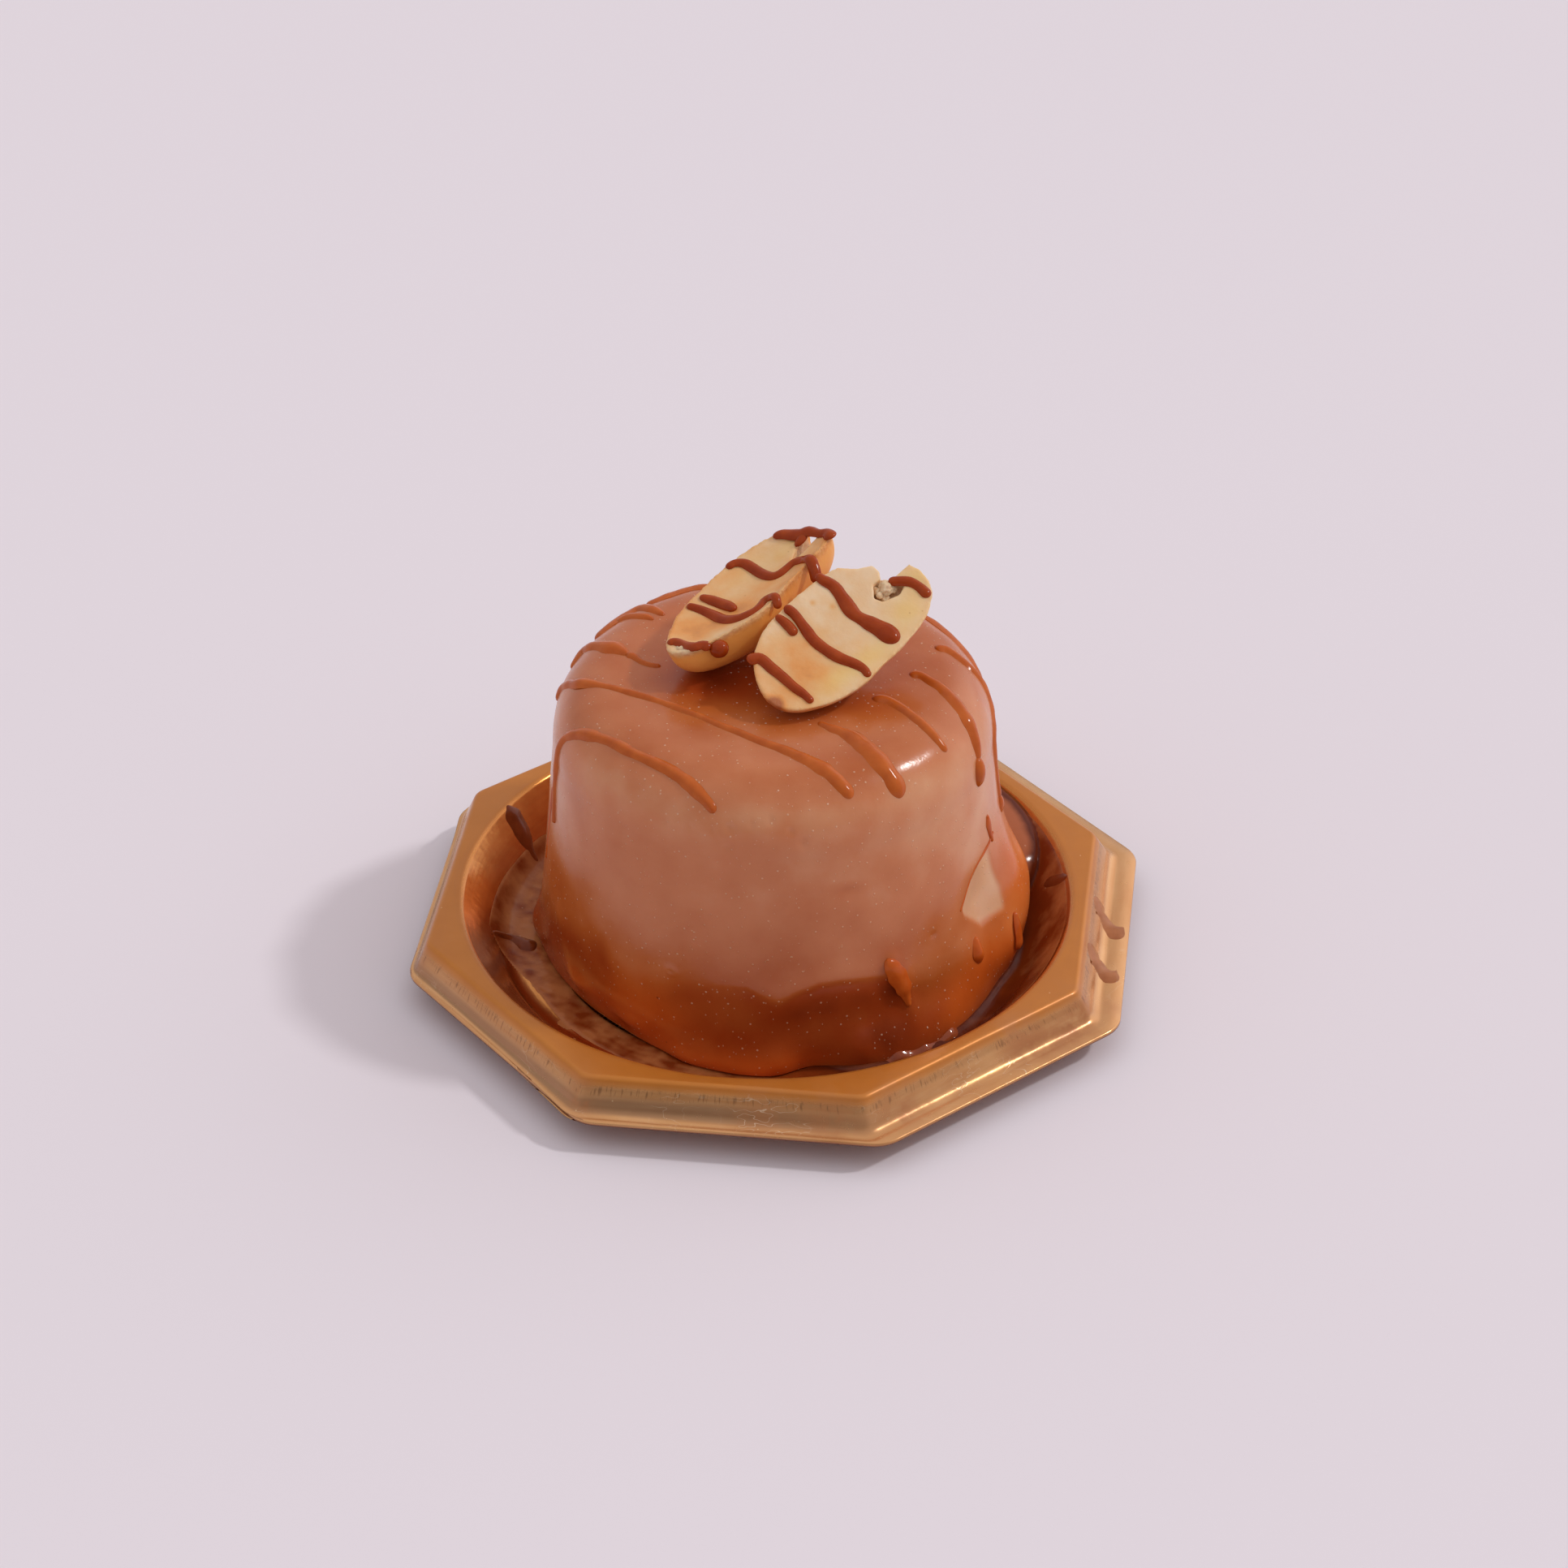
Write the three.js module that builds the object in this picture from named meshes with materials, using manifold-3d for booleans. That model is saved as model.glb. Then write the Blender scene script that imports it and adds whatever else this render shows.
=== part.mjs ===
// A small glazed peanut mousse in its eight-sided gold dish, with two peanut
// halves on top and a drizzle over everything.
// Millimetres, +Z up. The origin is on the table, under the middle of the
// dish's cut edge, whose flat sides face +X, +Y and the directions between.

import * as THREE from "three";
import { mergeVertices } from "three/addons/utils/BufferGeometryUtils.js";
import Module from "manifold-3d";

const degree = Math.PI / 180;
const gap = 0.36; // clearance between pieces that lie against each other, facets included

// The dish is formed from one thin sheet.
const sheet = 0.5;
const cutFlats = 70; // across the flat sides of the trimmed edge
const cutCorner = 3.8;
const cutHeight = 3.2; // upper side of the lip above the table
const lipDroop = 0.1; // at the cut edge
const rimFlats = 64.3;
const rimCorner = 1.8;
const rimHeight = 6.4;
const wellRadius = 30; // where the rim turns down into the well
const floorRadius = 24.6;
const wellFillet = 3.0;
const bend = 0.6; // radius of the two bends beside the rim
const skirtRun = 1.0; // how far the skirt leans out between rim and lip
const formOffset = { x: -1.2, y: -0.17 }; // the sheet was trimmed a little off centre

// The mousse, turned out of a tapered mould and glazed.
const body = {
  centre: { x: -0.62, y: 0.9 },
  bottom: sheet + gap,
  soleShare: 0.7, // of the foot's radius, where the sole's inner ring lies
  footRadius: 23.75,
  taper: 0.095,
  shoulderStart: 24,
  top: 31.2,
  topFlat: 15,
  roundness: 2.3,
  segments: 60,
};

// Where the glaze has gathered or is missing, seen from above: the direction
// of its middle, its half width in degrees, the height it acts at, and how far
// it pushes the side out.
const glazeForms = [
  { name: "front foot", angle: -92, spread: 15, height: 1.2, rise: 2.6, push: 0.9 },
  { name: "left foot", angle: 178, spread: 26, height: 1.5, rise: 4.5, push: 0.35 },
  { name: "thin front left", angle: -132, spread: 34, height: 0.6, rise: 3.2, push: -1.5 },
  { name: "thin front right", angle: -73, spread: 7, height: 0.6, rise: 2.4, push: -1.2 },
  { name: "front right foot", angle: -46, spread: 22, height: 1.4, rise: 3.4, push: 1.9 },
  { name: "right lobe", angle: 4, spread: 13, height: 6.0, rise: 6.4, push: 2.3 },
  { name: "bare patch", angle: -19, spread: 9, height: 12, rise: 4.2, push: -0.55 },
  { name: "thick band", angle: -70, spread: 34, height: 9.0, rise: 2.4, push: 0.35 },
  { name: "back foot", angle: 108, spread: 30, height: 1.4, rise: 3.0, push: 0.9 },
];

// The pool of glaze that ran off between the back right of the mousse and the well.
// The higher its fullness, the flatter its upper side.
const pool = { angle: 46, spread: 30, top: 6.6, reach: 31, fullness: 3 };

// The drizzle was swung to and fro across the cake in almost parallel passes.
// A strand starts and ends at distances along the passes and across them,
// counted from the middle of the dish; one that leaves the top runs on down
// the side to the height given.
const drizzle = {
  heading: -33,
  halfWidth: 0.52,
  halfHeight: 0.42,
  rise: 0.1, // of its middle line above a nut's face
  sides: 6,
  ringEvery: 2.6,
  endRings: 5,
  placeOnTopEvery: 3,
  placeDownSideEvery: 2.2,
  keepFromShoulder: 0.3, // the farthest out that a place still counts as on top
  dropOnSide: 1.7, // height of a hanging drop in its widths
  dropOnNut: 0.9,
};
const topStrands = [
  { from: [-12.6, -17.2], to: [7.6, -18.2], runFrom: 17.5, thin: 0.8 },
  { from: [-16.4, -11.7], to: [16.4, -8.7], runTo: 27.4, thin: 0.85 },
  { from: [-17.4, -5.9], to: [-9.9, -5.4], runFrom: 26.5, thin: 1 },
  { from: [7.4, -3.0], to: [18.8, -4.7], runTo: 26.5, thin: 0.95 },
  { from: [-18.6, 1.7], to: [-14.2, 0.6], runFrom: 27.0, thin: 1.15 },
  { from: [9.2, 3.4], to: [18.6, 2.9], runTo: 27.6, thin: 0.9 },
  { from: [-18.4, 8.2], to: [-15.6, 7.8], runFrom: 26.8, thin: 1.1 },
  { from: [9.6, 8.9], to: [18.4, 7.5], runTo: 24.6, drop: 0.95, thin: 1 },
  { from: [8.2, 14.4], to: [16.2, 12.7], runTo: 16.2, drop: 0.7, thin: 1 },
  { from: [-9.5, 18.4], to: [10.2, 17.6], runTo: 24.0, thin: 1 },
];

// Peanut halves, cut face up. Each lies with its long axis turned to the heading,
// its far end raised by the pitch and its left edge by the roll. Outlines, breaks
// and strands are given in the nut's own axes: along it, across it and, where a
// third number stands, above the edge of its face. The higher the belly's power,
// the fuller its underside.
const leftNut = {
  name: "nut_left",
  centre: [-4.14, 5.79, 37.8],
  heading: 43.6,
  pitch: 17,
  roll: -7.75,
  depth: 5.3,
  belly: 2.9,
  hollow: 1.1,
  outline: [
    [10.3, -0.6], [9.2, 2.2], [6.8, 4.2], [3, 4.7], [-1, 4.1], [-5.2, 3.1], [-8.6, 1],
    [-10.3, -1.6], [-8.8, -3.6], [-5.2, -4.6], [-1.2, -5.1], [2.5, -4], [6.6, -2.8], [9.3, -1.9],
  ],
  breaks: [
    { name: "germ cleft", depth: 3, outline: [[5.1, -0.5], [12, 0.1], [12, 2.6], [7.8, 1.3]] },
  ],
  strands: [
    { path: [[6.5, 4.1], [8.2, 2.2], [9.3, 0.4], [9.9, -1.6]] },
    { path: [[0.9, 4.3], [2.6, 3.6], [3, 0.6], [4.9, -0.7], [6.2, -2.7]] },
    { path: [[-5, 3], [-4, 0.6], [-3.2, -2.9], [-1.2, -4.9]] },
    { path: [[-3.3, 3.2], [-2.4, 1.2], [-2.1, -1.1]] },
    { path: [[-9.5, -0.6], [-8.4, -2.4], [-7.4, -4, -0.2], [-6.6, -4.7, -1.2]], drop: 0.95 },
  ],
};
const rightNut = {
  name: "nut_right",
  centre: [5.78, 0.52, 36.82],
  heading: 47.3,
  pitch: 16,
  roll: 26,
  depth: 3.9,
  belly: 2.1,
  hollow: 0.25,
  outline: [
    [10.6, -0.6], [10, 1.4], [8, 3.6], [4.2, 5.2], [0, 5.3], [-4.8, 4.8], [-8.2, 3],
    [-10, 0], [-9.8, -2.6], [-7.4, -4.6], [-3.6, -5.7], [1, -5.5], [6.5, -4.7], [9.7, -3],
  ],
  breaks: [
    {
      name: "broken corner",
      depth: 6,
      outline: [
        [3.6, 6.5], [4.6, 5.2], [6.1, 3.8], [7.4, 3.1], [7.5, 2.2], [6.9, 1.3], [7.6, 0.8],
        [10.1, 0.9], [12, 1.2], [12, 6.5],
      ],
    },
    {
      name: "germ pocket",
      depth: 1.4,
      outline: [[7.7, 1.4], [6.1, 1.5], [5.2, 0.4], [5.6, -0.4], [7.4, -0.9], [8.5, -0.4], [8.1, 1.4]],
    },
  ],
  strands: [
    { path: [[7.9, 0.2], [9, -0.6], [9.3, -2.9]] },
    { path: [[2.6, 5.2], [2.9, 2.6], [2.7, 0.5], [3.5, -2.6], [3.8, -4.3]], drop: 0.95 },
    { path: [[2.2, -0.4], [2.8, -2.4], [2.9, -4.9]] },
    { path: [[-2.2, 5.2], [-2.3, 1.6], [-1.8, -2.2], [-1, -4.4], [-1.1, -5.5]] },
    { path: [[-3.5, 5], [-3.2, 3.3], [-3.5, 2.4]] },
    { path: [[-8.6, 3.3], [-7.6, 1.2], [-7.3, -1.8], [-7.1, -4]] },
  ],
};

const nutSegments = { around: 28, down: 12, onEdge: 120 };

const wasm = await Module();
wasm.setup();

// --- closed meshes and joins -------------------------------------------------

// One vertex at each place, and no flat triangles.
function weld(geometry) {
  const bare = geometry.clone();
  bare.deleteAttribute("normal");
  bare.deleteAttribute("uv");
  const merged = mergeVertices(bare, 1e-4);
  const index = merged.index.array;
  const kept = [];
  for (let i = 0; i < index.length; i += 3) {
    const [a, b, c] = [index[i], index[i + 1], index[i + 2]];
    if (a !== b && b !== c && c !== a) kept.push(a, b, c);
  }
  merged.setIndex(kept);
  return merged;
}

function toSolid(geometry) {
  const closed = weld(geometry);
  return new wasm.Manifold(new wasm.Mesh({
    numProp: 3,
    vertProperties: new Float32Array(closed.attributes.position.array),
    triVerts: new Uint32Array(closed.index.array),
  }));
}

function toGeometry(solid) {
  const mesh = solid.getMesh();
  const geometry = new THREE.BufferGeometry();
  geometry.setAttribute("position", new THREE.BufferAttribute(mesh.vertProperties, 3));
  geometry.setIndex(new THREE.BufferAttribute(mesh.triVerts, 1));
  geometry.computeVertexNormals();
  return geometry;
}

function moveVertices(geometry, move) {
  const position = geometry.attributes.position;
  const point = new THREE.Vector3();
  for (let i = 0; i < position.count; i++) {
    point.fromBufferAttribute(position, i);
    move(point, i);
    position.setXYZ(i, point.x, point.y, point.z);
  }
  return geometry;
}

// --- the dish -----------------------------------------------------------------

// The directions of one side of the octagon, close together at its corner.
const sideAngles = [-15, -8, -2.4, -1.2, 0, 1.2, 2.4, 8, 15, 22.5];
const dishSegments = 8 * sideAngles.length;

// Distance from the middle to an octagon with round corners, in a direction
// counted from one of its corners.
function octagon(halfFlats, corner, angle) {
  const side = 22.5 * degree;
  const folded = Math.abs(angle - 2 * side * Math.round(angle / (2 * side)));
  const arcCentre = (halfFlats - corner) / Math.cos(side);
  const arcEnd = Math.atan2(corner * Math.sin(side), arcCentre + corner * Math.cos(side));
  if (folded > arcEnd) return halfFlats / Math.cos(side - folded);
  const across = arcCentre * Math.sin(folded);
  return arcCentre * Math.cos(folded) + Math.sqrt(corner * corner - across * across);
}

function arc(middle, height, radius, fromDegrees, toDegrees, steps) {
  const points = [];
  for (let i = 0; i <= steps; i++) {
    const angle = (fromDegrees + (toDegrees - fromDegrees) * i / steps) * degree;
    points.push([middle + radius * Math.cos(angle), height + radius * Math.sin(angle)]);
  }
  return points;
}

// The well's wall runs straight from the floor's fillet to the bend at the rim, and
// touches both arcs: this is how far it leans out, in degrees.
const fromFilletToBend = new THREE.Vector2(
  wellRadius + bend - floorRadius,
  rimHeight - bend - sheet - wellFillet,
);
const wellLean = (
  Math.acos((wellFillet + bend) / fromFilletToBend.length()) - fromFilletToBend.angle()
) / degree;

function wellProfile() {
  const fillet = arc(floorRadius, sheet + wellFillet, wellFillet, -90, -wellLean, 3);
  const edge = arc(wellRadius + bend, rimHeight - bend, bend, 180 - wellLean, 90, 2);
  return [...fillet, ...edge].map(([r, z]) => ({ r, z, form: "round" }));
}

function rimAndSkirtProfile() {
  const half = rimFlats / 2;
  const lean = Math.atan2(skirtRun, rimHeight - cutHeight) / degree;
  const outer = arc(half - bend, rimHeight - bend, bend, 90, lean, 2);
  const foot = arc(half + skirtRun + bend, cutHeight + bend, bend, 180 + lean, 270, 2);
  return [
    ...outer.map(([r, z]) => ({ r, z, form: "rim" })),
    ...foot.map(([r, z]) => ({ r, z, form: "rim" })),
    { r: cutFlats / 2, z: cutHeight - lipDroop, form: "cut" },
  ];
}

// The sheet's other side, one thickness below the upper one.
function underside(upper) {
  return upper.map((point, i) => {
    const before = upper[Math.max(i - 1, 0)];
    const after = upper[Math.min(i + 1, upper.length - 1)];
    const run = new THREE.Vector2(after.r - before.r, after.z - before.z).normalize();
    return { ...point, r: point.r + sheet * run.y, z: point.z - sheet * run.x };
  });
}

function dishGeometry() {
  const upper = [...wellProfile(), ...rimAndSkirtProfile()];
  const lower = underside(upper);
  lower[0].r = upper[0].r;
  lower[lower.length - 1].r = cutFlats / 2;
  const profile = [
    { r: 0, z: 0, form: "round" },
    ...lower,
    ...upper.reverse(),
    { r: 0, z: sheet, form: "round" },
  ];
  const points = profile.map(({ r, z }) => new THREE.Vector2(r, z));
  const geometry = new THREE.LatheGeometry(points, dishSegments);
  geometry.rotateX(Math.PI / 2);
  return moveVertices(geometry, (point, i) => {
    const { r, form } = profile[i % profile.length];
    const segment = Math.floor(i / profile.length) % dishSegments;
    const side = Math.floor(segment / sideAngles.length);
    const fromCorner = sideAngles[segment % sideAngles.length] * degree;
    const angle = (22.5 + 45 * side) * degree + fromCorner;
    let distance = r;
    if (form === "rim") distance = octagon(r, rimCorner, fromCorner);
    if (form === "cut") distance = octagon(r, cutCorner, fromCorner);
    const shift = form === "cut" ? { x: 0, y: 0 } : formOffset;
    point.x = shift.x + distance * Math.cos(angle);
    point.y = shift.y + distance * Math.sin(angle);
  });
}

// --- the mousse ---------------------------------------------------------------

const shoulderRadius = body.footRadius - body.taper * body.shoulderStart;

function plainRadius(z) {
  if (z < body.shoulderStart) return body.footRadius - body.taper * z;
  const up = Math.min((z - body.shoulderStart) / (body.top - body.shoulderStart), 1);
  const out = (1 - up ** body.roundness) ** (1 / body.roundness);
  return body.topFlat + (shoulderRadius - body.topFlat) * out;
}

// Height of the top at a distance from the mousse's own axis.
function topHeight(radius) {
  const out = Math.max((radius - body.topFlat) / (shoulderRadius - body.topFlat), 0);
  const up = Math.max(1 - out ** body.roundness, 0) ** (1 / body.roundness);
  return body.shoulderStart + (body.top - body.shoulderStart) * up;
}

function bump(distance) {
  return Math.exp(-distance * distance);
}

function turnBetween(a, b) {
  return Math.abs(((a - b + 540) % 360) - 180);
}

// Radius of the well at a height, less the clearance.
function wellInside(z) {
  const radius = wellFillet - gap;
  const lean = wellLean * degree;
  const aboveCentre = z - sheet - wellFillet;
  const aboveFillet = aboveCentre + radius * Math.sin(lean);
  if (aboveFillet > 0) return floorRadius + radius * Math.cos(lean) + aboveFillet * Math.tan(lean);
  return floorRadius + Math.sqrt(Math.max(radius ** 2 - aboveCentre ** 2, 0));
}

// Distance from the mousse's axis to the well's wall, less the clearance.
function wallLimit(angle, z) {
  const x = body.centre.x - formOffset.x;
  const y = body.centre.y - formOffset.y;
  const along = x * Math.cos(angle) + y * Math.sin(angle);
  const across = x * Math.sin(angle) - y * Math.cos(angle);
  return Math.sqrt(wellInside(z) ** 2 - across ** 2) - along;
}

function glazedRadius(angle, z) {
  const turn = angle / degree;
  let radius = plainRadius(z);
  for (const form of glazeForms) {
    const around = bump(turnBetween(turn, form.angle) / form.spread);
    radius += form.push * around * bump((z - form.height) / form.rise);
  }
  const inPool = bump((turnBetween(turn, pool.angle) / pool.spread) ** 2);
  const domed = Math.max(1 - (z / pool.top) ** pool.fullness, 0) ** (1 / pool.fullness);
  const poolRadius = plainRadius(z) + (pool.reach - plainRadius(z)) * domed * inPool;
  return Math.min(Math.max(radius, poolRadius), wallLimit(angle, z));
}

function sidePoint(angle, z) {
  const radius = z < body.shoulderStart ? glazedRadius(angle, z) : plainRadius(z);
  return new THREE.Vector3(
    body.centre.x + radius * Math.cos(angle),
    body.centre.y + radius * Math.sin(angle),
    z,
  );
}

// Half of the mousse's section, from the middle of its sole to the middle of its
// top. The side's rows lie closer together where the glaze has run.
function mousseProfile() {
  const sideHeights = [
    body.bottom, 1.4, 2.3, 3.2, 4.2, 5.2, 6.0, 6.6, 7.4, 8.8, 10.4, 12.2, 14.5, 18,
  ];
  const shoulderSteps = 6;
  const profile = [{ r: 0, z: body.bottom }, { r: body.footRadius * body.soleShare, z: body.bottom }];
  for (const z of sideHeights) profile.push({ r: plainRadius(z), z, onSide: true });
  for (let i = 0; i <= shoulderSteps; i++) {
    const turn = 90 * degree * i / shoulderSteps;
    const out = Math.cos(turn) ** (2 / body.roundness);
    const up = Math.sin(turn) ** (2 / body.roundness);
    profile.push({
      r: body.topFlat + (shoulderRadius - body.topFlat) * out,
      z: body.shoulderStart + (body.top - body.shoulderStart) * up,
    });
  }
  profile.push({ r: body.topFlat / 2, z: body.top }, { r: 0, z: body.top });
  return profile;
}

function mousseGeometry() {
  const profile = mousseProfile();
  const points = profile.map(({ r, z }) => new THREE.Vector2(r, z));
  const geometry = new THREE.LatheGeometry(points, body.segments);
  geometry.rotateX(Math.PI / 2);
  return moveVertices(geometry, (point, i) => {
    const { r, z, onSide } = profile[i % profile.length];
    const angle = Math.atan2(point.y, point.x);
    const radius = onSide ? glazedRadius(angle, z) : r;
    point.x = body.centre.x + radius * Math.cos(angle);
    point.y = body.centre.y + radius * Math.sin(angle);
  });
}

// The direction straight out of the mousse at a place on it.
function outOfMousse(point) {
  const x = point.x - body.centre.x;
  const y = point.y - body.centre.y;
  const radius = Math.hypot(x, y);
  const out = Math.max((radius - body.topFlat) / (shoulderRadius - body.topFlat), 0);
  const up = Math.max((point.z - body.shoulderStart) / (body.top - body.shoulderStart), 0);
  const sideways = out ** (body.roundness - 1) / (shoulderRadius - body.topFlat);
  const upwards = up ** (body.roundness - 1) / (body.top - body.shoulderStart);
  return new THREE.Vector3(x / radius * sideways, y / radius * sideways, upwards).normalize();
}

// --- the drizzle --------------------------------------------------------------

// A sphere drawn out along a path, so that both ends are round. The path is
// given as places and the directions straight out of what they lie on.
function strandGeometry(places, outward, thickness) {
  const curve = new THREE.CatmullRomCurve3(places, false, "centripetal");
  const length = curve.getLength();
  const { sides } = drizzle;
  const rings = Math.round(drizzle.endRings + length / drizzle.ringEvery);
  const halfWidth = drizzle.halfWidth * thickness;
  const halfHeight = drizzle.halfHeight * thickness;
  return moveVertices(new THREE.SphereGeometry(1, sides, rings), (point, i) => {
    const ring = Math.floor(i / (sides + 1));
    const share = (1 - Math.cos(Math.PI * ring / rings)) / 2;
    const toEnd = Math.min(share, 1 - share) * length;
    const fullness = Math.sqrt(1 - Math.max(1 - toEnd / halfWidth, 0) ** 2);
    const middle = curve.getPointAt(share);
    const along = curve.getTangentAt(share);
    const side = new THREE.Vector3().crossVectors(along, outward(middle)).normalize();
    const lift = new THREE.Vector3().crossVectors(side, along);
    const round = 2 * Math.PI * (i % (sides + 1)) / sides;
    point.copy(middle)
      .addScaledVector(side, halfWidth * fullness * Math.cos(round))
      .addScaledVector(lift, halfHeight * fullness * Math.sin(round));
  });
}

function dropGeometry(place, radius, stretch) {
  const geometry = new THREE.SphereGeometry(radius, 8, 6);
  geometry.rotateX(Math.PI / 2);
  geometry.scale(1, 1, stretch);
  geometry.translate(place.x, place.y, place.z);
  return geometry;
}

// A place on top of the mousse, from distances along and across the passes.
function onTop(along, across) {
  const heading = drizzle.heading * degree;
  const x = along * Math.cos(heading) - across * Math.sin(heading);
  const y = along * Math.sin(heading) + across * Math.cos(heading);
  const radius = Math.hypot(x - body.centre.x, y - body.centre.y);
  return new THREE.Vector3(x, y, topHeight(Math.min(radius, shoulderRadius - drizzle.keepFromShoulder)));
}

// Places down the side under the end of a strand, keeping to the surface.
function runDown(end, lowest) {
  const angle = Math.atan2(end.y - body.centre.y, end.x - body.centre.x);
  const places = [];
  const steps = Math.max(Math.round((end.z - lowest) / drizzle.placeDownSideEvery), 1);
  for (let i = 1; i <= steps; i++) {
    places.push(sidePoint(angle, end.z + (lowest - end.z) * i / steps));
  }
  return places;
}

function strandPlaces({ from, to, runFrom, runTo }) {
  const length = Math.hypot(to[0] - from[0], to[1] - from[1]);
  const steps = Math.max(Math.round(length / drizzle.placeOnTopEvery), 2);
  const places = [];
  for (let i = 0; i <= steps; i++) {
    const share = i / steps;
    places.push(onTop(
      from[0] + (to[0] - from[0]) * share,
      from[1] + (to[1] - from[1]) * share,
    ));
  }
  if (runFrom) places.unshift(...runDown(places[0], runFrom).reverse());
  if (runTo) places.push(...runDown(places[places.length - 1], runTo));
  return places;
}

function glazedMousse() {
  let solid = toSolid(mousseGeometry());
  for (const strand of topStrands) {
    const places = strandPlaces(strand);
    solid = solid.add(toSolid(strandGeometry(places, outOfMousse, strand.thin)));
    if (strand.drop) {
      const end = places[places.length - 1];
      solid = solid.add(toSolid(dropGeometry(end, strand.drop, drizzle.dropOnSide)));
    }
  }
  return toGeometry(solid);
}

// --- the peanut halves --------------------------------------------------------

function edgeCurve(nut) {
  const places = nut.outline.map(([x, y]) => new THREE.Vector3(x, y, 0));
  return new THREE.CatmullRomCurve3(places, true, "centripetal");
}

// How far out a place on the face is: 0 in the middle and 1 at the edge.
function shareOut(nut, x, y) {
  const reach = Math.hypot(x, y);
  let nearest = { cosine: -1, share: 0 };
  for (const edge of edgeCurve(nut).getPoints(nutSegments.onEdge)) {
    const cosine = (edge.x * x + edge.y * y) / (edge.length() * reach);
    if (cosine > nearest.cosine) nearest = { cosine, share: reach / edge.length() };
  }
  return Math.min(nearest.share, 1);
}

function faceHeight(nut, share) {
  return -nut.hollow * (1 - share ** 2);
}

// A sphere whose upper half is pressed into the hollow face.
function nutGeometry(nut) {
  const edge = edgeCurve(nut);
  const geometry = new THREE.SphereGeometry(1, nutSegments.around, nutSegments.down);
  geometry.rotateX(Math.PI / 2);
  return moveVertices(geometry, (point) => {
    const share = Math.min(Math.hypot(point.x, point.y), 1);
    const turn = Math.atan2(point.y, point.x) / (2 * Math.PI);
    const outer = edge.getPoint((turn + 1) % 1);
    const full = (1 - share ** nut.belly) ** (1 / nut.belly);
    const height = point.z > 0 ? faceHeight(nut, share) : -nut.depth * full;
    point.set(outer.x * share, outer.y * share, height);
  });
}

// What is missing: a prism from above the face down to its depth.
function breakSolid({ outline, depth }) {
  const aboveFace = 2;
  const shape = new THREE.Shape(outline.map(([x, y]) => new THREE.Vector2(x, y)));
  const geometry = new THREE.ExtrudeGeometry(shape, {
    depth: depth + aboveFace,
    bevelEnabled: false,
  });
  geometry.translate(0, 0, -depth);
  return toSolid(geometry);
}

function strandOnNut(nut, path) {
  return path.map(([x, y, z]) => (
    new THREE.Vector3(x, y, z ?? faceHeight(nut, shareOut(nut, x, y)) + drizzle.rise)
  ));
}

const straightUp = () => new THREE.Vector3(0, 0, 1);

function drizzledNut(nut) {
  let solid = toSolid(nutGeometry(nut));
  for (const missing of nut.breaks) solid = solid.subtract(breakSolid(missing));
  for (const { path, drop } of nut.strands) {
    const places = strandOnNut(nut, path);
    solid = solid.add(toSolid(strandGeometry(places, straightUp, 1)));
    if (drop) {
      const end = places[places.length - 1];
      solid = solid.add(toSolid(dropGeometry(end, drop, drizzle.dropOnNut)));
    }
  }
  return toGeometry(solid);
}

function nutMesh(nut, material) {
  const mesh = new THREE.Mesh(drizzledNut(nut), material);
  mesh.name = nut.name;
  mesh.rotation.order = "ZYX";
  mesh.rotation.set(nut.roll * degree, -nut.pitch * degree, nut.heading * degree);
  mesh.position.set(...nut.centre);
  return mesh;
}

// --- the whole ----------------------------------------------------------------

const goldSheet = new THREE.MeshStandardMaterial({
  color: 0xc98a3c, roughness: 0.28, metalness: 0.85,
});
const caramelGlaze = new THREE.MeshStandardMaterial({
  color: 0xa9694c, roughness: 0.25, metalness: 0,
});
const peanut = new THREE.MeshStandardMaterial({
  color: 0xe2c08e, roughness: 0.55, metalness: 0,
});

const dessert = new THREE.Group();

const dish = new THREE.Mesh(weld(dishGeometry()), goldSheet);
dish.name = "dish";
dessert.add(dish);

const mousse = new THREE.Mesh(glazedMousse(), caramelGlaze);
mousse.name = "mousse";
dessert.add(mousse);

dessert.add(nutMesh(leftNut, peanut));
dessert.add(nutMesh(rightNut, peanut));

export default dessert;
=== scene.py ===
from math import acos, atan2, cos, degrees, exp, hypot, pi, radians, sin, sqrt, tan

import bmesh
import bpy
from mathutils import Matrix, Vector, noise


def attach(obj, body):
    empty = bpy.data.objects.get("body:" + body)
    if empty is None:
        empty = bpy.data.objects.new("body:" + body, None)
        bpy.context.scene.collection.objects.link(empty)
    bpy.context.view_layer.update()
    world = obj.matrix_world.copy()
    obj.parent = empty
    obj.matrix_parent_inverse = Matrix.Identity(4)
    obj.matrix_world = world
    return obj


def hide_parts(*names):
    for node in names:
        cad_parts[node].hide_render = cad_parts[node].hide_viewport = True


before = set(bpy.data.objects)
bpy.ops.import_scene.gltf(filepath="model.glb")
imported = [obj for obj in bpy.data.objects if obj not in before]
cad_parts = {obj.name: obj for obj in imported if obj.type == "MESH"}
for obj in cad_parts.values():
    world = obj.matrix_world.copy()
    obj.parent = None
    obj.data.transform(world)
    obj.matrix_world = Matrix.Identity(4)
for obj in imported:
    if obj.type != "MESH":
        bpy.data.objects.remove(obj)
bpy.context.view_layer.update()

mm = 0.001  # shapes are worked out in millimetres and turned to metres at the end


# helpers for pieces and materials

def bump(distance):
    return exp(-distance * distance)


def mix(a, b, share):
    return a + (b - a) * share


def smoothStep(low, high, value):
    share = min(max((value - low) / (high - low), 0), 1)
    return share * share * (3 - 2 * share)


def turnBetween(a, b):
    return abs((a - b + 540) % 360 - 180)


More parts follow.
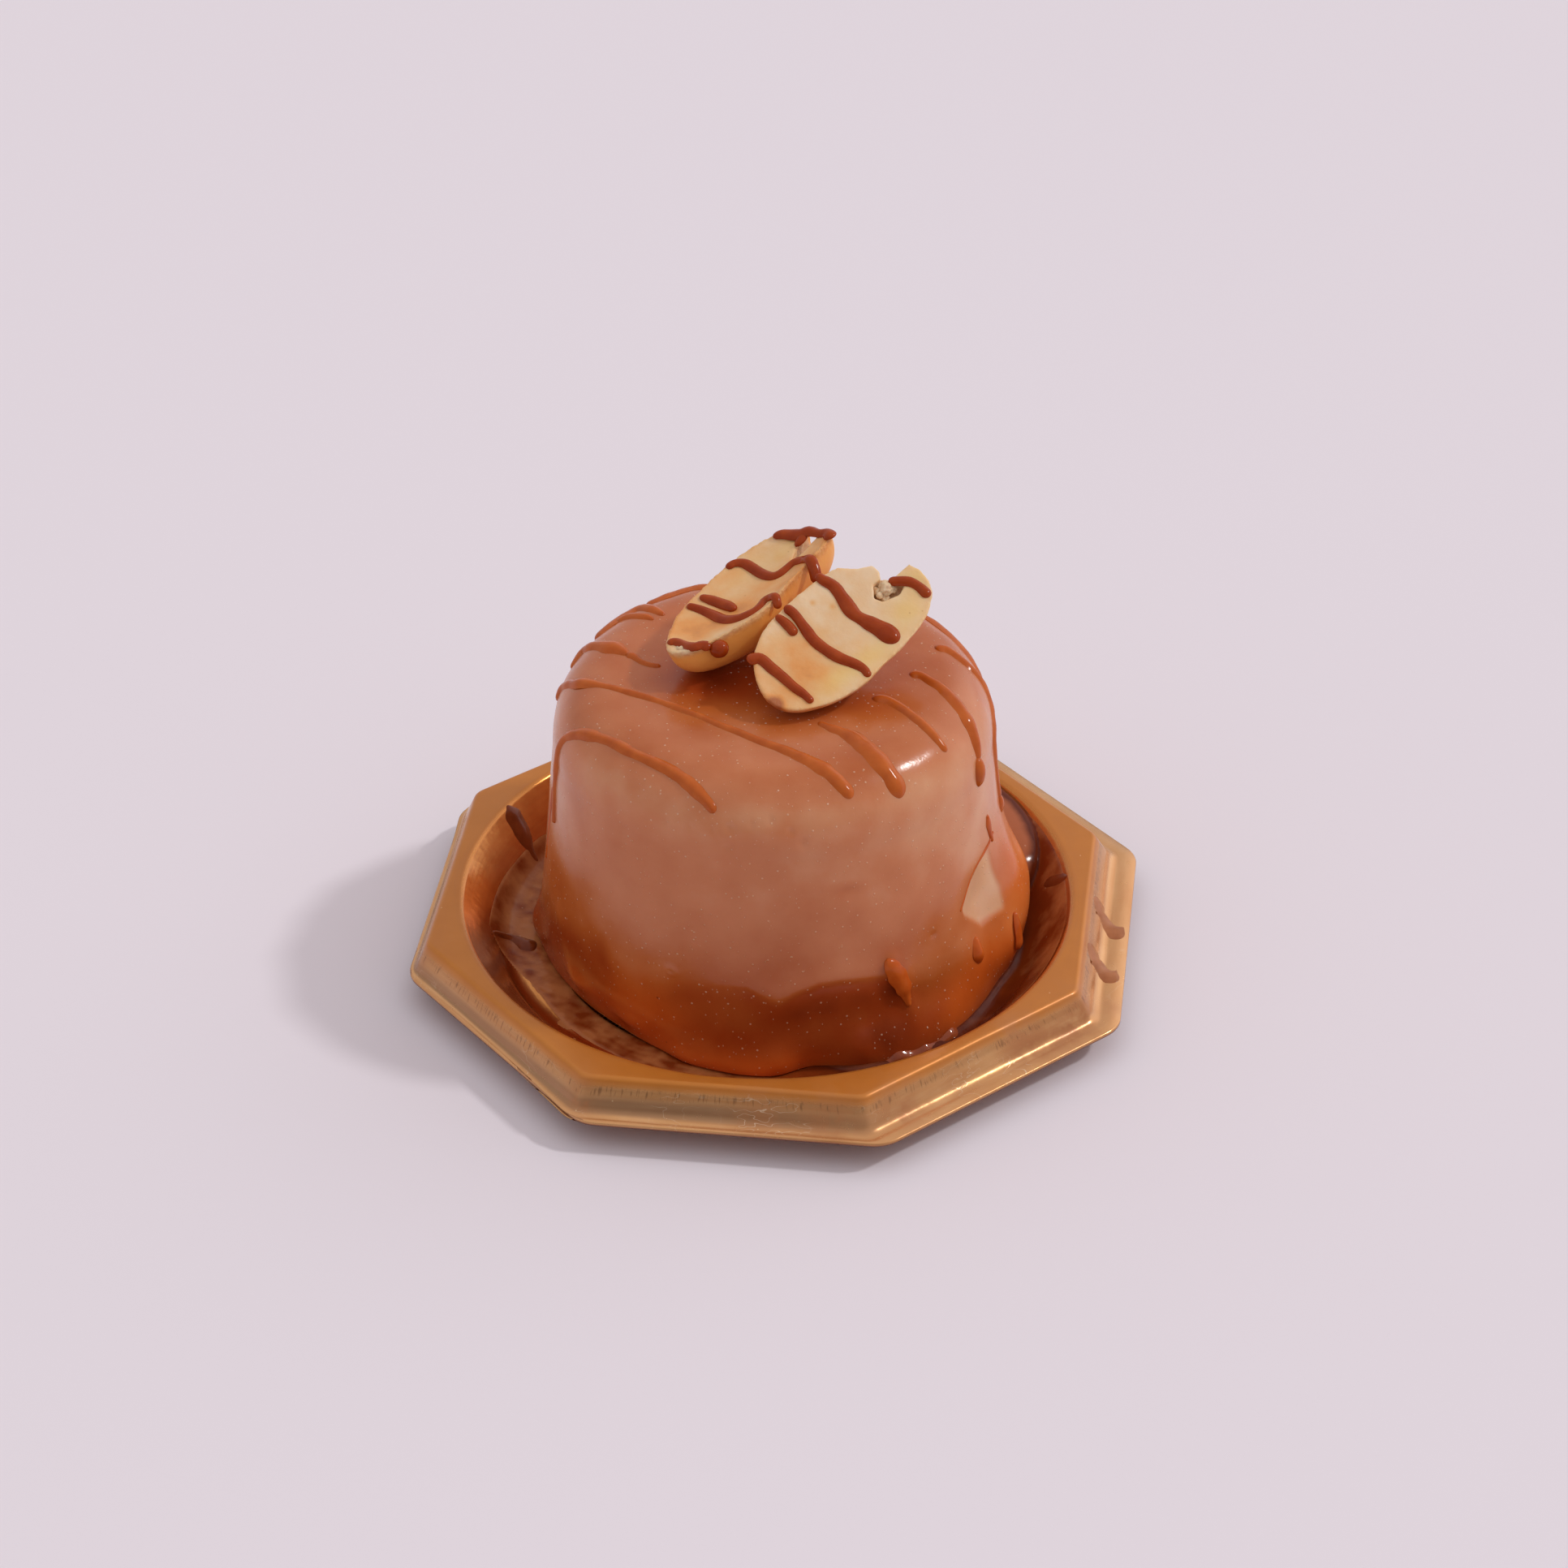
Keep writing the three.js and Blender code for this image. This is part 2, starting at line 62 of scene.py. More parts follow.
def alongPoints(points, at):
    # reads a value from pairs in rising order, straight between them
    if at <= points[0][0]:
        return points[0][1]
    for (a, low), (b, high) in zip(points, points[1:]):
        if at <= b:
            return mix(low, high, (at - a) / max(b - a, 1e-9))
    return points[-1][1]


def addForms(forms, turn, height):
    # the sum of soft spots, each as direction, height, width in degrees, tallness and amount
    total = 0
    for direction, middle, wide, tall, amount in forms:
        away = turnBetween(turn, direction) / wide
        if away < 2.5:
            total += amount * bump(away) * bump((height - middle) / tall)
    return total


def curveBetween(a, b, c, d, t):
    # a place between b and c on a smooth curve through all four
    return 0.5 * (
        2 * b + (c - a) * t + (2 * a - 5 * b + 4 * c - d) * t * t
        + (3 * b - 3 * c + d - a) * t ** 3
    )


def makePiece(name, bm, material, node):
    bmesh.ops.recalc_face_normals(bm, faces=bm.faces)
    bmesh.ops.scale(bm, vec=(mm, mm, mm), verts=bm.verts)
    mesh = bpy.data.meshes.new(name)
    bm.to_mesh(mesh)
    bm.free()
    mesh.shade_smooth()
    mesh.materials.append(material)
    piece = bpy.data.objects.new(name, mesh)
    bpy.context.scene.collection.objects.link(piece)
    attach(piece, "root")
    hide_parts(node)
    print(name, len(mesh.polygons), "faces")


def newMaterial(name):
    material = bpy.data.materials.new(name)
    material.use_nodes = True
    tree = material.node_tree
    return material, tree, tree.nodes["Principled BSDF"]


def feed(tree, socket, value):
    # a socket takes what another node gives, or a plain value
    if isinstance(value, bpy.types.NodeSocket):
        tree.links.new(value, socket)
    else:
        socket.default_value = value


def addNode(tree, kind, inputs=None, **settings):
    node = tree.nodes.new("ShaderNode" + kind)
    for name, value in settings.items():
        setattr(node, name, value)
    for socket, value in (inputs or {}).items():
        feed(tree, node.inputs[socket], value)
    return node


def connect(tree, source, shader, socket):
    tree.links.new(source, shader.inputs[socket])


def setShader(shader, **values):
    names = {
        "color": "Base Color", "roughness": "Roughness", "ior": "IOR",
        "specular": "Specular IOR Level",
        "coat": "Coat Weight", "coatRoughness": "Coat Roughness", "coatIor": "Coat IOR",
        "subsurface": "Subsurface Weight", "radius": "Subsurface Radius",
        "subsurfaceScale": "Subsurface Scale",
    }
    for key, value in values.items():
        shader.inputs[names[key]].default_value = value


def millimetres(tree, stretch=(1, 1, 1)):
    # object coordinates counted in millimetres
    place = addNode(tree, "TexCoord").outputs["Object"]
    return addNode(tree, "Mapping", {
        "Vector": place, "Scale": [part / mm for part in stretch],
    }).outputs["Vector"]


def attribute(tree, name, output="Fac"):
    return addNode(tree, "Attribute", attribute_name=name).outputs[output]


def stretched(tree, place, stretch):
    return addNode(tree, "Mapping", {"Vector": place, "Scale": stretch}).outputs["Vector"]


def noiseNode(tree, place, scale, detail=2.0, roughness=0.5):
    return addNode(tree, "TexNoise", {
        "Vector": place, "Scale": scale, "Detail": detail, "Roughness": roughness,
    }).outputs["Fac"]


def dots(tree, place, scale, size):
    # sparse round dots, 1 in their middles
    cells = addNode(tree, "TexVoronoi", {"Vector": place, "Scale": scale})
    return remap(tree, cells.outputs["Distance"], size * 0.4, size, 1, 0)


def remap(tree, value, fromLow, fromHigh, toLow, toHigh):
    return addNode(tree, "MapRange", {
        "Value": value, "From Min": fromLow, "From Max": fromHigh,
        "To Min": toLow, "To Max": toHigh,
    }).outputs["Result"]


def calculate(tree, operation, a, b):
    return addNode(tree, "Math", {0: a, 1: b}, operation=operation).outputs["Value"]


def thinLines(tree, place, scale, thickness):
    # lines where a noise crosses its middle value
    away = calculate(tree, "SUBTRACT", noiseNode(tree, place, scale, 1), 0.5)
    return remap(tree, calculate(tree, "ABSOLUTE", away, 0), 0, thickness, 1, 0)


def ramp(tree, value, stops):
    node = addNode(tree, "ValToRGB", {"Fac": value})
    elements = node.color_ramp.elements
    while len(elements) < len(stops):
        elements.new(0.5)
    for element, (position, color) in zip(elements, stops):
        element.position = position
        element.color = (*color, 1)
    return node.outputs["Color"]


colorMix = {"share": 0, "a": 6, "b": 7, "result": 2}  # a colour mix's sockets


def mixColor(tree, share, a, b):
    a, b = ((*color, 1) if isinstance(color, tuple) else color for color in (a, b))
    inputs = {colorMix["share"]: share, colorMix["a"]: a, colorMix["b"]: b}
    return addNode(tree, "Mix", inputs, data_type="RGBA").outputs[colorMix["result"]]


def bumpNode(tree, height, distance, strength=1.0, normal=None):
    inputs = {"Height": height, "Distance": distance * mm, "Strength": strength}
    if normal:
        inputs["Normal"] = normal
    return addNode(tree, "Bump", inputs).outputs["Normal"]


# camera, floor and light

camera = {
    "place": (44.3083, -334.3227, 250.5223),
    "right": (0.99198786, 0.12622628, -0.00519755),
    "up": (-0.06721645, 0.56218186, 0.82427756),
    "back": (0.10696746, -0.81732397, 0.56616207),
    "lens": 95.707,
}


def makeCamera():
    data = bpy.data.cameras.new("camera")
    data.lens = camera["lens"]
    data.sensor_width = 36
    data.clip_start = 0.01
    view = bpy.data.objects.new("camera", data)
    turn = Matrix((camera["right"], camera["up"], camera["back"])).transposed()
    view.matrix_world = Matrix.Translation(Vector(camera["place"]) * mm) @ turn.to_4x4()
    bpy.context.scene.collection.objects.link(view)
    bpy.context.scene.camera = view
    print("camera")


studio = {
    "keyFrom": (0.976, 0.255, 1.0),
    "keyStrength": 0.92,
    "keySize": 4.6,  # degrees across
    "keyColor": (0.97, 1.0, 1.0),
    "fill": 0.56, "upward": 0.2,  # the room is a little brighter overhead
    "fillColor": (1.0, 0.985, 1.0),
    "darkSide": (0.10, -0.98, 0.16),  # the unlit end of the room, towards the camera
    "darkReach": (0.55, 0.97),
    "darkest": 0.5,
    "brightSide": (0.66, 0.68, 0.32),  # a large soft window at the back right
    "brightReach": (0.80, 0.97),
    "brighter": 0.55,
    "floorColor": (0.82, 0.735, 0.785), "floorRoughness": 0.8, "floorSpecular": 0.2,
    "floorHalf": 3,
}


def makeWorld():
    world = bpy.data.worlds.new("studio")
    world.use_nodes = True
    tree = world.node_tree
    direction = addNode(tree, "TexCoord").outputs["Generated"]
    height = addNode(tree, "SeparateXYZ", {0: direction}).outputs["Z"]
    strength = calculate(tree, "MULTIPLY", height, studio["upward"])
    for side, reach, away, along in (
        ("darkSide", "darkReach", studio["fill"], studio["fill"] * studio["darkest"]),
        ("brightSide", "brightReach", 0, studio["brighter"]),
    ):
        towards = addNode(tree, "VectorMath", {0: direction, 1: studio[side]}, operation="DOT_PRODUCT")
        part = addNode(tree, "MapRange", {
            "Value": towards.outputs["Value"],
            "From Min": studio[reach][0], "From Max": studio[reach][1],
            "To Min": away, "To Max": along,
        }, interpolation_type="SMOOTHSTEP")
        strength = calculate(tree, "ADD", strength, part.outputs["Result"])
    background = tree.nodes["Background"]
    background.inputs["Color"].default_value = (*studio["fillColor"], 1)
    tree.links.new(strength, background.inputs["Strength"])
    bpy.context.scene.world = world


def makeStudio():
    sun = bpy.data.lights.new("key", "SUN")
    sun.energy = studio["keyStrength"]
    sun.angle = radians(studio["keySize"])
    sun.color = studio["keyColor"]
    key = bpy.data.objects.new("key", sun)
    key.rotation_euler = Vector(studio["keyFrom"]).to_track_quat("Z", "Y").to_euler()
    bpy.context.scene.collection.objects.link(key)
    makeWorld()

    bm = bmesh.new()
    bmesh.ops.create_grid(bm, x_segments=1, y_segments=1, size=studio["floorHalf"])
    mesh = bpy.data.meshes.new("floor")
    bm.to_mesh(mesh)
    bm.free()
    material, tree, shader = newMaterial("paper")
    setShader(
        shader, color=(*studio["floorColor"], 1), roughness=studio["floorRoughness"],
        specular=studio["floorSpecular"],
    )
    grain = noiseNode(tree, millimetres(tree, (0.4, 3, 1)), 1.2, 3)
    connect(tree, bumpNode(tree, grain, 0.02, 0.25), shader, "Normal")
    mesh.materials.append(material)
    floor = bpy.data.objects.new("floor", mesh)
    bpy.context.scene.collection.objects.link(floor)
    bpy.context.scene.view_settings.view_transform = "Standard"
    print("studio")


# the gold dish, one formed sheet

dish = {
    "sheet": 0.5,
    "cutFlats": 70, "cutCorner": 3.8, "cutHeight": 3.2, "cutRound": 0.12,
    "rimFlats": 64.3, "rimCorner": 1.8, "rimHeight": 6.4,
    "wellRadius": 30, "floorRadius": 24.6, "fillet": 3.0,
    "bend": 0.6, "wellBend": 0.9, "skirtRun": 1.0,
    "footBend": (0.42, 1.35), "flange": 0.25,  # least and most; what stays flat beyond it
    "offset": (-1.2, -0.17),
    "stepsPerSide": 44, "crowding": 2.0,  # steps crowd round the corners
    "creaseSteps": 8, "skirtSteps": 6, "footSteps": 10, "filletSteps": 14,
    "wellFloor": (8, 14, 18, 21, 23.4),  # rings on the well's floor
    "waviness": 0.05,
    "paintedGlow": (178, 28.9), "paintedGlowReach": (7, 0.9),  # painted light: light thrown off the dish onto the well's wall, painted as a warm patch
    "marksAt": 34,  # distance at which the marks are laid round
    # painted reflection: a dark band on the skirt's left, the dark end of the room mirrored in it
    "bandSide": -130, "bandReach": (80, 45), "bandAmount": 0.75,
}
goldTones = {  # each pair is mottled from one to the other
    "rim": [(0.53, 0.170, 0.015), (0.63, 0.212, 0.024)],
    "well": [(0.62, 0.225, 0.045), (0.74, 0.30, 0.08)],
    "skirt": [(0.68, 0.33, 0.12), (0.80, 0.43, 0.20)],
    # the glow tone is painted light on the well's wall; the band tone is a painted reflection of the room's
    # dark end
    "paintedGlow": (0.98, 0.42, 0.06), "streak": (0.50, 0.16, 0.03), "band": (0.32, 0.165, 0.085),
    "fold": (0.32, 0.12, 0.03), "stain": (0.46, 0.17, 0.055), "mark": (0.16, 0.06, 0.02),
    "scratch": (0.95, 0.72, 0.50), "speck": (0.95, 0.66, 0.36), "cutEdge": (0.16, 0.05, 0.035),
}
dishStains = [  # smeared caramel too thin to stand up, as place, radius and amount
    (25.1, -19.9, 4.5, 2.4, 0.8), (27.8, -18.4, 3.4, 2.4, 0.8), (30.6, -15.8, 3.6, 2.4, 0.9),
    (31.2, -13.6, 4.8, 1.5, 0.8), (33.8, -11.4, 3.2, 1.3, 0.7), (31.6, -8.0, 5.0, 0.9, 0.7),
    (31.5, -3.4, 5.0, 0.9, 0.6), (15.2, -30.2, 3.8, 3.0, 0.8), (20.0, -25.4, 3.8, 2.0, 0.5),
    (9.0, -33.2, 3.9, 3.0, 0.7), (2.5, -33.4, 4.0, 2.6, 0.6), (-14.4, -32.6, 4.4, 1.7, 0.9),
    (-33.2, -14.0, 4.6, 1.4, 0.5), (22.6, -23.4, 6.3, 1.3, 0.3),
    (-28.8, 7.6, 3.6, 2.6, 0.35), (-28.2, 3.2, 2.6, 2.2, 0.25), (-27.0, 11.6, 4.4, 2.6, 0.4),
]


def wellLean():
    bend = dish["wellBend"]
    run = dish["wellRadius"] + bend - dish["floorRadius"]
    rise = dish["rimHeight"] - bend - dish["sheet"] - dish["fillet"]
    return acos((dish["fillet"] + bend) / hypot(run, rise)) - atan2(rise, run)


def arc(middle, height, radius, start, end, steps):
    turns = [radians(mix(start, end, i / steps)) for i in range(steps + 1)]
    return [(middle + radius * cos(turn), height + radius * sin(turn)) for turn in turns]


def wellProfile(deeper=0.0):
    # the well from its floor to its edge, or a surface that much below it
    lean, bend = degrees(wellLean()), dish["wellBend"]
    floor = dish["sheet"] - deeper
    points = [(r, floor) for r in dish["wellFloor"]]
    points += arc(
        dish["floorRadius"], dish["sheet"] + dish["fillet"], dish["fillet"] + deeper,
        -90, -lean, dish["filletSteps"],
    )
    return points + arc(
        dish["wellRadius"] + bend, dish["rimHeight"] - bend, bend - deeper,
        180 - lean, 90, dish["creaseSteps"],
    )


def rimProfile(foot, deeper=0.0):
    # from the flat rim over its outer bend, down the skirt and out on the flange
    lean = degrees(atan2(dish["skirtRun"], dish["rimHeight"] - dish["cutHeight"]))
    bend, half = dish["bend"], dish["rimFlats"] / 2
    crease = arc(
        half - bend, dish["rimHeight"] - bend, bend - deeper, 90, lean, dish["creaseSteps"],
    )
    bottom = arc(
        half + dish["skirtRun"] + foot, dish["cutHeight"] + foot, foot + deeper,
        180 + lean, 270, dish["footSteps"],
    )
    (startR, startZ), (endR, endZ), steps = crease[-1], bottom[0], dish["skirtSteps"]
    skirt = [(mix(startR, endR, i / steps), mix(startZ, endZ, i / steps)) for i in range(1, steps)]
    return crease + skirt + bottom


def octagon(halfFlats, corner, angle):
    # distance to an octagon with round corners, the angle counted from a corner
    side = pi / 8
    folded = abs(angle - 2 * side * round(angle / (2 * side)))
    arcCentre = (halfFlats - corner) / cos(side)
    arcEnd = atan2(corner * sin(side), arcCentre + corner * cos(side))
    if folded > arcEnd:
        return halfFlats / cos(side - folded)
    across = arcCentre * sin(folded)
    return arcCentre * cos(folded) + sqrt(corner * corner - across * across)


def footRadius(angle):
    # the bend at the skirt's foot is as wide as the flange leaves room for
    least, most = dish["footBend"]
    fromCorner = angle - radians(22.5)
    shift = dish["offset"][0] * cos(angle) + dish["offset"][1] * sin(angle)
    gap = octagon(dish["cutFlats"] / 2, dish["cutCorner"], fromCorner) - shift
    gap -= octagon(dish["rimFlats"] / 2, dish["rimCorner"], fromCorner)
    return min(max(gap - dish["skirtRun"] - dish["flange"], least), most)


def dishProfile(angle):
    # every point as radius, height and what shapes it, below and above the sheet
    foot = footRadius(angle)
    sides = []
    for deeper in (dish["sheet"], 0.0):
        points = [(r, z, "round") for r, z in wellProfile(deeper)]
        points.append((dish["wellRadius"] + dish["wellBend"] + 0.3, dish["rimHeight"] - deeper, "blend"))
        points += [(r, z, "rim") for r, z in rimProfile(foot, deeper)]
        sides.append(points)
    half, top, soft = dish["cutFlats"] / 2, dish["cutHeight"], dish["cutRound"]
    low = top - dish["sheet"]
    edge = [(half - soft, low), (half, low + soft), (half, top - soft), (half - soft, top)]
    lower, upper = sides
    return lower + [(r, z, "cut") for r, z in edge] + upper[::-1]


def dishPoint(angle, r, z, form):
    fromCorner = angle - radians(22.5)
    shift = Vector((*dish["offset"], z))
    if form == "rim":
        r = octagon(r, dish["rimCorner"], fromCorner)
    if form == "cut":
        r = octagon(r, dish["cutCorner"], fromCorner)
        shift = Vector((0, 0, z))
    return shift + Vector((cos(angle), sin(angle), 0)) * r


def dishHeight(x, y):
    # how high the sheet's upper side is at a place
    x, y = x - dish["offset"][0], y - dish["offset"][1]
    r, angle = hypot(x, y), atan2(y, x)
    if r < dish["wellRadius"] + dish["wellBend"]:
        return alongPoints(wellProfile(), r)
    half = dish["rimFlats"] / 2
    r *= half / octagon(half, dish["rimCorner"], angle - radians(22.5))
    return alongPoints(rimProfile(footRadius(angle)), r)


def outOfDish(point):
    step = 0.05
    x, y = point.x, point.y
    slope = [
        dishHeight(x + step, y) - dishHeight(x - step, y),
        dishHeight(x, y + step) - dishHeight(x, y - step),
    ]
    return Vector((-slope[0], -slope[1], 2 * step)).normalized()


def goldMaterial():
    material, tree, shader = newMaterial("goldSheet")
    setShader(shader, coat=0.15, coatRoughness=0.12, coatIor=1.5)
    place = millimetres(tree)
    around = attribute(tree, "around", "Vector")
    well, skirt = attribute(tree, "well"), attribute(tree, "skirt")
    streaks = noiseNode(tree, stretched(tree, around, (0.10, 0.10, 2.2)), 1.0, 4)
    mottle = noiseNode(tree, place, 0.3, 4)
    mottled = {zone: mixColor(tree, mottle, *goldTones[zone]) for zone in ("rim", "well", "skirt")}
    fold, paintedGlow = attribute(tree, "fold"), attribute(tree, "paintedGlow")
    blotches = remap(tree, noiseNode(tree, place, 0.5, 3), 0.34, 0.52, 0.35, 1)
    stain = calculate(tree, "MULTIPLY", attribute(tree, "stain"), blotches)
    # the fold below the rim is pricked with short upright marks
    marks = noiseNode(tree, stretched(tree, around, (4.6, 4.6, 0.7)), 1.0, 2)
    marks = calculate(tree, "MULTIPLY", remap(tree, marks, 0.56, 0.66, 0, 0.55), fold)
    scratches = thinLines(tree, stretched(tree, around, (0.5, 0.5, 1.2)), 1.0, 0.012)
    patchy = remap(tree, noiseNode(tree, place, 0.12, 1), 0.52, 0.62, 0, 0.6)
    scratches = calculate(tree, "MULTIPLY", scratches, calculate(tree, "MULTIPLY", patchy, skirt))
    tone = mixColor(tree, well, mottled["rim"], mottled["well"])
    for share, color in (
        (skirt, mottled["skirt"]),
        # painted light on the well's wall
        (paintedGlow, goldTones["paintedGlow"]),
        (remap(tree, streaks, 0.4, 0.75, 0, 0.45), goldTones["streak"]),
        # the painted reflection of the dark room on the skirt
        (attribute(tree, "band"), goldTones["band"]),
        (calculate(tree, "MULTIPLY", fold, 0.35), goldTones["fold"]),
        (stain, goldTones["stain"]),
        (marks, goldTones["mark"]),
        (scratches, goldTones["scratch"]),
        (calculate(tree, "MULTIPLY", dots(tree, place, 0.4, 0.04), 0.5), goldTones["speck"]),
        (attribute(tree, "cutEdge"), goldTones["cutEdge"]),
    ):
        tone = mixColor(tree, share, tone, color)
    connect(tree, tone, shader, "Base Color")
    rough = remap(tree, well, 0, 1, 0.36, 0.13)
    rough = calculate(tree, "ADD", rough, remap(tree, skirt, 0, 1, 0, -0.13))
    smudged = remap(tree, noiseNode(tree, place, 0.9, 4), 0.3, 0.7, -0.04, 0.05)
    connect(tree, calculate(tree, "ADD", rough, smudged), shader, "Roughness")
    metal = remap(tree, well, 0, 1, 0.40, 0.92)
    # less metal where the painted light on the wall lies, so its colour shows
    for zone, change in ((skirt, 0.25), (paintedGlow, -0.7), (stain, -0.4)):
        metal = calculate(tree, "ADD", metal, remap(tree, zone, 0, 1, 0, change))
    connect(tree, metal, shader, "Metallic")
    fine = bumpNode(tree, streaks, 0.02, 0.5)
    uneven = bumpNode(tree, noiseNode(tree, place, 0.7, 2), 0.04, 0.5, fine)
    connect(tree, bumpNode(tree, scratches, 0.01, 0.6, uneven), shader, "Normal")
    return material


def makeDish(material):
    steps = 8 * dish["stepsPerSide"]
    template = dishProfile(0)
    rings = len(template) + 1
    bm = bmesh.new()
    bmesh.ops.create_uvsphere(bm, u_segments=steps, v_segments=rings, radius=1)
    around = bm.verts.layers.float_vector.new("around")
    names = ("well", "skirt", "fold", "band", "cutEdge", "paintedGlow", "stain")
    zones = {name: bm.verts.layers.float.new(name) for name in names}
    run = [0.0]
    for (r, z, _), (nextR, nextZ, _) in zip(template, template[1:]):
        run.append(run[-1] + hypot(nextR - r, nextZ - z))
    # the crease's lower end, counted back over the well, its join and the crease
    crease = run[len(template) - len(wellProfile()) - dish["creaseSteps"] - 2]
    cutTop = dish["cutHeight"] - dish["cutRound"] - 0.01
    profiles = {}
    for vert in bm.verts:
        i = round(acos(min(max(-vert.co.z, -1), 1)) / pi * rings) - 1
        share = (degrees(atan2(vert.co.y, vert.co.x)) - 22.5) / 22.5
        side = round(share / 2)
        offset = share - 2 * side
        fromCorner = radians(22.5) * abs(offset) ** dish["crowding"] * (1 if offset > 0 else -1)
        angle = radians(22.5 + 45 * side) + fromCorner
        if i in (-1, len(template)):
            vert.co = Vector((*dish["offset"], 0 if i < 0 else dish["sheet"]))
            vert[zones["well"]] = 1.0
            continue
        column = round(share * dish["stepsPerSide"])
        if column not in profiles:
            profiles[column] = dishProfile(angle)
        r, z, form = profiles[column][i]
        direction = Vector((cos(angle), sin(angle), 0))
        wave = noise.noise(Vector((direction.x * 5, direction.y * 5, run[i] * 0.15)))
        vert.co = dishPoint(angle, r, z, form)
        if form != "cut":
            vert.co.z += dish["waviness"] * wave * smoothStep(8, 20, r)
        vert[around] = direction * dish["marksAt"] + Vector((0, 0, run[i] - crease))
        beyondCrease = crease - run[i]
        vert[zones["well"]] = 1 - smoothStep(30.0, 30.8, r) if form == "round" else 0.0
        # painted light on the well's wall, strongest at its middle
        if form == "round":
            (glowTurn, glowR), (wide, tall) = dish["paintedGlow"], dish["paintedGlowReach"]
            fromPaintedGlow = hypot(turnBetween(degrees(angle), glowTurn) / wide, (r - glowR) / tall)
            vert[zones["paintedGlow"]] = bump(fromPaintedGlow)
        if form in ("rim", "cut"):
            vert[zones["skirt"]] = smoothStep(0.15, 0.7, beyondCrease)
            inFold = smoothStep(0.3, 0.6, beyondCrease) - smoothStep(1.0, 1.5, beyondCrease)
            vert[zones["fold"]] = max(inFold, 0)
            # painted reflection: a dark band across the skirt, strongest on its left
            inDarkReflection = smoothStep(1.1, 1.7, beyondCrease) - smoothStep(2.9, 3.4, beyondCrease)
            towardsLeft = smoothStep(*dish["bandReach"], turnBetween(degrees(angle), dish["bandSide"]))
            vert[zones["band"]] = dish["bandAmount"] * max(inDarkReflection, 0) * towardsLeft
        stain = sum(
            amount * bump((vert.co - Vector((x, y, z))).length / radius)
            for x, y, z, radius, amount in dishStains
        )
        vert[zones["stain"]] = min(stain, 1)
        vert[zones["cutEdge"]] = 1.0 if form == "cut" and z < cutTop else 0.0
    makePiece("goldDish", bm, material, "dish")


# the glazed mousse

mousse = {
    "centre": (-0.62, 0.90),
    "bottom": 0.86, "footRadius": 23.75, "taper": 0.095,
    "shoulderStart": 24, "top": 31.2, "topFlat": 15, "roundness": 2.3,
    "clearance": 0.36,  # left between the glaze and the well's wall
    "bottomRings": (8, 15, 19, 21, 22.5),
    "steps": 540, "sideRows": 124, "shoulderRows": 32, "topRows": 14,
}
glazeTones = {  # from bare mousse to a dark pool; the lit tones are painted light, the glaze seen against the gold dish and with light behind
    "plain": [
        (0.0, (0.76, 0.42, 0.24)), (0.28, (0.60, 0.20, 0.08)), (0.5, (0.47, 0.108, 0.022)),
        (0.8, (0.34, 0.048, 0.008)), (1.0, (0.15, 0.016, 0.004)),
    ],
    "lit": [
        (0.0, (0.80, 0.31, 0.10)), (0.3, (0.74, 0.18, 0.033)), (0.6, (0.64, 0.11, 0.012)),
        (1.0, (0.26, 0.025, 0.004)),
    ],
    "specks": (0.88, 0.58, 0.38), "fineSpecks": (0.86, 0.52, 0.32), "darkSpecks": (0.10, 0.02, 0.01),
}
shoulderRadius = mousse["footRadius"] - mousse["taper"] * mousse["shoulderStart"]
glazeForms = [  # direction, height, half width in degrees, rise, push outwards
    (-92, 1.2, 15, 2.6, 0.9),
    (178, 1.5, 26, 4.5, 0.35),
    (-132, 0.6, 34, 3.2, -1.5),
    (-73, 0.6, 7, 2.4, -1.2),
    (-46, 1.4, 22, 3.4, 1.9),
    (4, 6.0, 13, 6.4, 2.3),
    (-2, 11.5, 5, 3.0, 0.5), (9, 9.0, 5, 3.4, 0.5), (-9, 4.0, 4, 2.4, 0.6),
    (-20, 11.5, 7, 3.6, -0.7),
    (-70, 9.0, 34, 2.4, 0.35),
    (108, 1.4, 30, 3.0, 0.9),
    (-172, 2.2, 7, 1.5, 0.8),
    (-140, 3.6, 5, 1.2, 0.5),
    (-121, 2.6, 5, 1.0, 0.3),
    (-104, 1.2, 5, 0.9, 0.3),
    (-25, 5.8, 7, 2.6, 0.5),
    (-53.4, 10.8, 2.0, 1.3, 0.45), (-50.5, 8.4, 2.4, 2.0, 0.45), (-49, 5.6, 2.2, 1.6, 0.3),
    (-62, 3.2, 3.0, 1.8, 0.3), (-82, 2.2, 4.0, 1.6, 0.35), (-96, 4.8, 3.0, 2.2, 0.2),
    (-12, 3.6, 6, 2.4, 0.4),
    (-149, 9, 3, 1.1, 0.12),
    (-64, 20.2, 3.2, 0.5, -0.07),
]
ridge = [  # where the haze over the glaze ends, as direction and height
    (-180, 6.0), (-159, 7.7), (-140, 9.7), (-129, 10.5), (-125, 8.7), (-118, 8.5), (-108, 9.4),
    (-102, 10.2), (-89, 10.7), (-85, 9.7), (-81.5, 9.1), (-77, 10.2), (-72, 10.9), (-66, 10.9),
    (-56, 10.3), (-50, 8.5), (-42, 7.5), (-33, 7.8), (-26, 6.8), (-15, 5.5), (0, 4), (60, 4),
    (120, 6), (180, 6.0),
]
